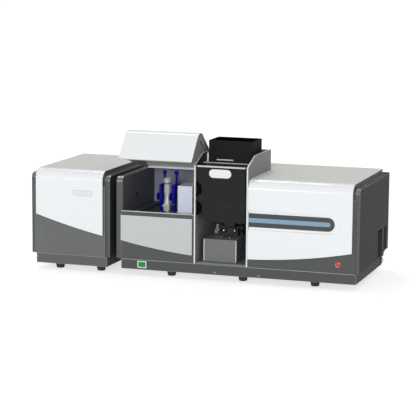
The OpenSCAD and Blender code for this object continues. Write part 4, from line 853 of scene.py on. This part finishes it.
# Plates
# Thin moulded plates stand blank on the supply cabinet and on the door, each on a grey rim; a green
# one with a white border is glued on the skirt.
def plate_with_rim(name, body, slot, span, y, radius, face, rim, thick=0.8, width=1.2):
    """A blank plate in its rim, on a front face at y. The span is left, right, low and high."""
    x0, x1, z0, z1 = span
    border = oblong(x0, x1, z0, z1, radius)
    laid_plate(name + "_rim", border, (0, y, 0), *FRONT, thick, rim, body, slot)
    middle = oblong(x0 + width, x1 - width, z0 + width, z1 - width, max(radius - width, 0.4))
    laid_plate(name, middle, (0, y - thick, 0), *FRONT, thick / 2, face, body, slot)


COVER_FRONT = -18
DOOR_FRONT = -10.5
plate_white = painted("plate_white", rgb(240, 241, 242), rough=0.35)
plate_pale = painted("plate_pale", rgb(232, 236, 239), rough=0.35)
plate_rim = painted("plate_rim", rgb(190, 194, 198), rough=0.35)
plate_green = painted("plate_green", rgb(14, 140, 52), rough=0.35)
plate_with_rim("supply_plate", "cabinets", "light_inlay", span=(-183.5, -96.5, 312, 334),
               y=COVER_FRONT, radius=10.9, face=plate_pale, rim=plate_rim)
plate_with_rim("door_plate", "door", "light_inlay", span=(393.5, 485, 413.5, 448),
               y=DOOR_FRONT, radius=17.1, face=plate_white, rim=plate_rim)
plate_with_rim("skirt_plate", "cabinets", "lamp_green", span=(93, 131, 33, 61),
               y=FASCIA_FRONT, radius=1.5, face=plate_green, rim=plate_white, thick=0.5, width=3.5)


# Fascia edge highlight
# A light strip along the top edge of the fascia, below the open bay: a painted highlight on that edge.
edge_highlight_outline = oblong(26.4, 333.6, 259.6, 262, 0.8, 3)
laid_plate("fascia_edge_highlight", edge_highlight_outline, (0, FASCIA_FRONT, 0), *FRONT, 0.5, strip_light, "cabinets", "bay_plate")


# Corner fillers
# Three small dark grey fillers close the gaps beside the covers' upper corners, one on the main
# cabinet and two on the supply cabinet. Moulded plastic, pushed in.
FILLER_BACK = 0.9
filler_grey = painted("filler_grey", rgb(88, 89, 90), rough=0.55, specular=0.1)
for corner, x in (("main", 975.3), ("supply_right", -53.4), ("supply_left", -353.1)):
    filler = oblong(x, x + 8.4, 352.6, 377.4, 1.2, 3)
    laid_plate(f"filler_{corner}", filler, (0, FILLER_BACK, 0), *FRONT, 1.4,
               filler_grey, "cabinets", "grey_panel")


# Side vents
# Two openings near the rear of the right side panel. In each stands a dust mat of pressed grey
# fibre, and in front of it a row of folded steel slats that slope down and outwards.
VENT_TOP = 183
MAT_FACE = 993
SLAT_PITCH = 8
SLAT_SECTION = ((994.6, 4.5), (995.4, 5.2), (999.4, 0.8), (998.8, 0))
mat_grey = painted("mat_grey", rgb(60, 61, 62), rough=0.8, specular=0.03,
                   grain=500, depth=0.0003, drift=0.2)
slat_grey = painted("slat_grey", rgb(78, 79, 80), rough=0.55, specular=0.1)
for number, (y0, y1, z0) in enumerate(((326.4, 403.6, 70.8), (438.4, 487.6, 89.8))):
    mat = oblong(y0, y1, z0, VENT_TOP, 1, 3)
    laid_plate(f"vent_mat_{number}", mat, (MAT_FACE, 0, 0), *SIDE, 1.2,
               mat_grey, "cabinets", "black_plastic")
    slats = bmesh.new()
    z = z0 + SLAT_PITCH / 2
    while z < VENT_TOP - 5:
        near = [slats.verts.new(row(x, y0, z + h)) for x, h in SLAT_SECTION]
        far = [slats.verts.new(row(x, y1, z + h)) for x, h in SLAT_SECTION]
        slats.faces.new(near)
        slats.faces.new(far[::-1])
        for i in range(4):
            slats.faces.new((near[i], far[i], far[(i + 1) % 4], near[(i + 1) % 4]))
        z += SLAT_PITCH
    settled(f"vent_slats_{number}", slats, slat_grey, "cabinets", 0.0002)


# Skirt screws
# Two screws hold the front of the main skirt to its pan. Turned and plated steel, with a round
# recess in the head.
screw_steel = metal("screw_steel", rgb(196, 196, 196), rough=0.3)
head = ((0.6, 0), (3.0, 0), (3.0, 0.7), (2.4, 1.5), (1.5, 1.8), (1.4, 1.1), (0.4, 1.0))
for x in (419.2, 600.8):
    place = (x, FASCIA_FRONT, 35.8)
    turned_piece(f"skirt_screw_{round(x)}", head, place, FORWARD, screw_steel, steps=20)


# Side union
# A gas union on the skirt's right side near the rear: a turned and plated hexagon and stub, screwed
# in through a flange and a seal ring of black plastic.
OUTWARD = (1, 0, 0)
UNION_Y, UNION_Z = 434, 45
seal = ((8, 0), (14.2, 0), (15, 0.8), (14.6, 1.6), (8, 1.6))
flange = ((3, 0), (13.4, 0), (13.6, 0.4), (13, 1.4), (9.4, 2.4), (3, 2.4))
hexagon = ((3, 0), (8.2, 0), (9, 0.6), (9, 2.6), (8.2, 3.2), (4, 3.2))
stub = ((2, 0), (5, 0), (5, 2), (4.2, 2.4), (2.4, 2.4), (2.2, 1.2), (0.5, 1.2))
for part, profile, x, finish, slot, steps in (
    ("seal", seal, 990.6, plastic_black, "black_plastic", 28),
    ("flange", flange, 991.6, plastic_black, "black_plastic", 28),
    ("hexagon", hexagon, 993.8, union_steel, "steel", 6),
    ("stub", stub, 997, union_steel, "steel", 28),
):
    turned_piece(f"union_{part}", profile, (x, UNION_Y, UNION_Z), OUTWARD, finish, steps)
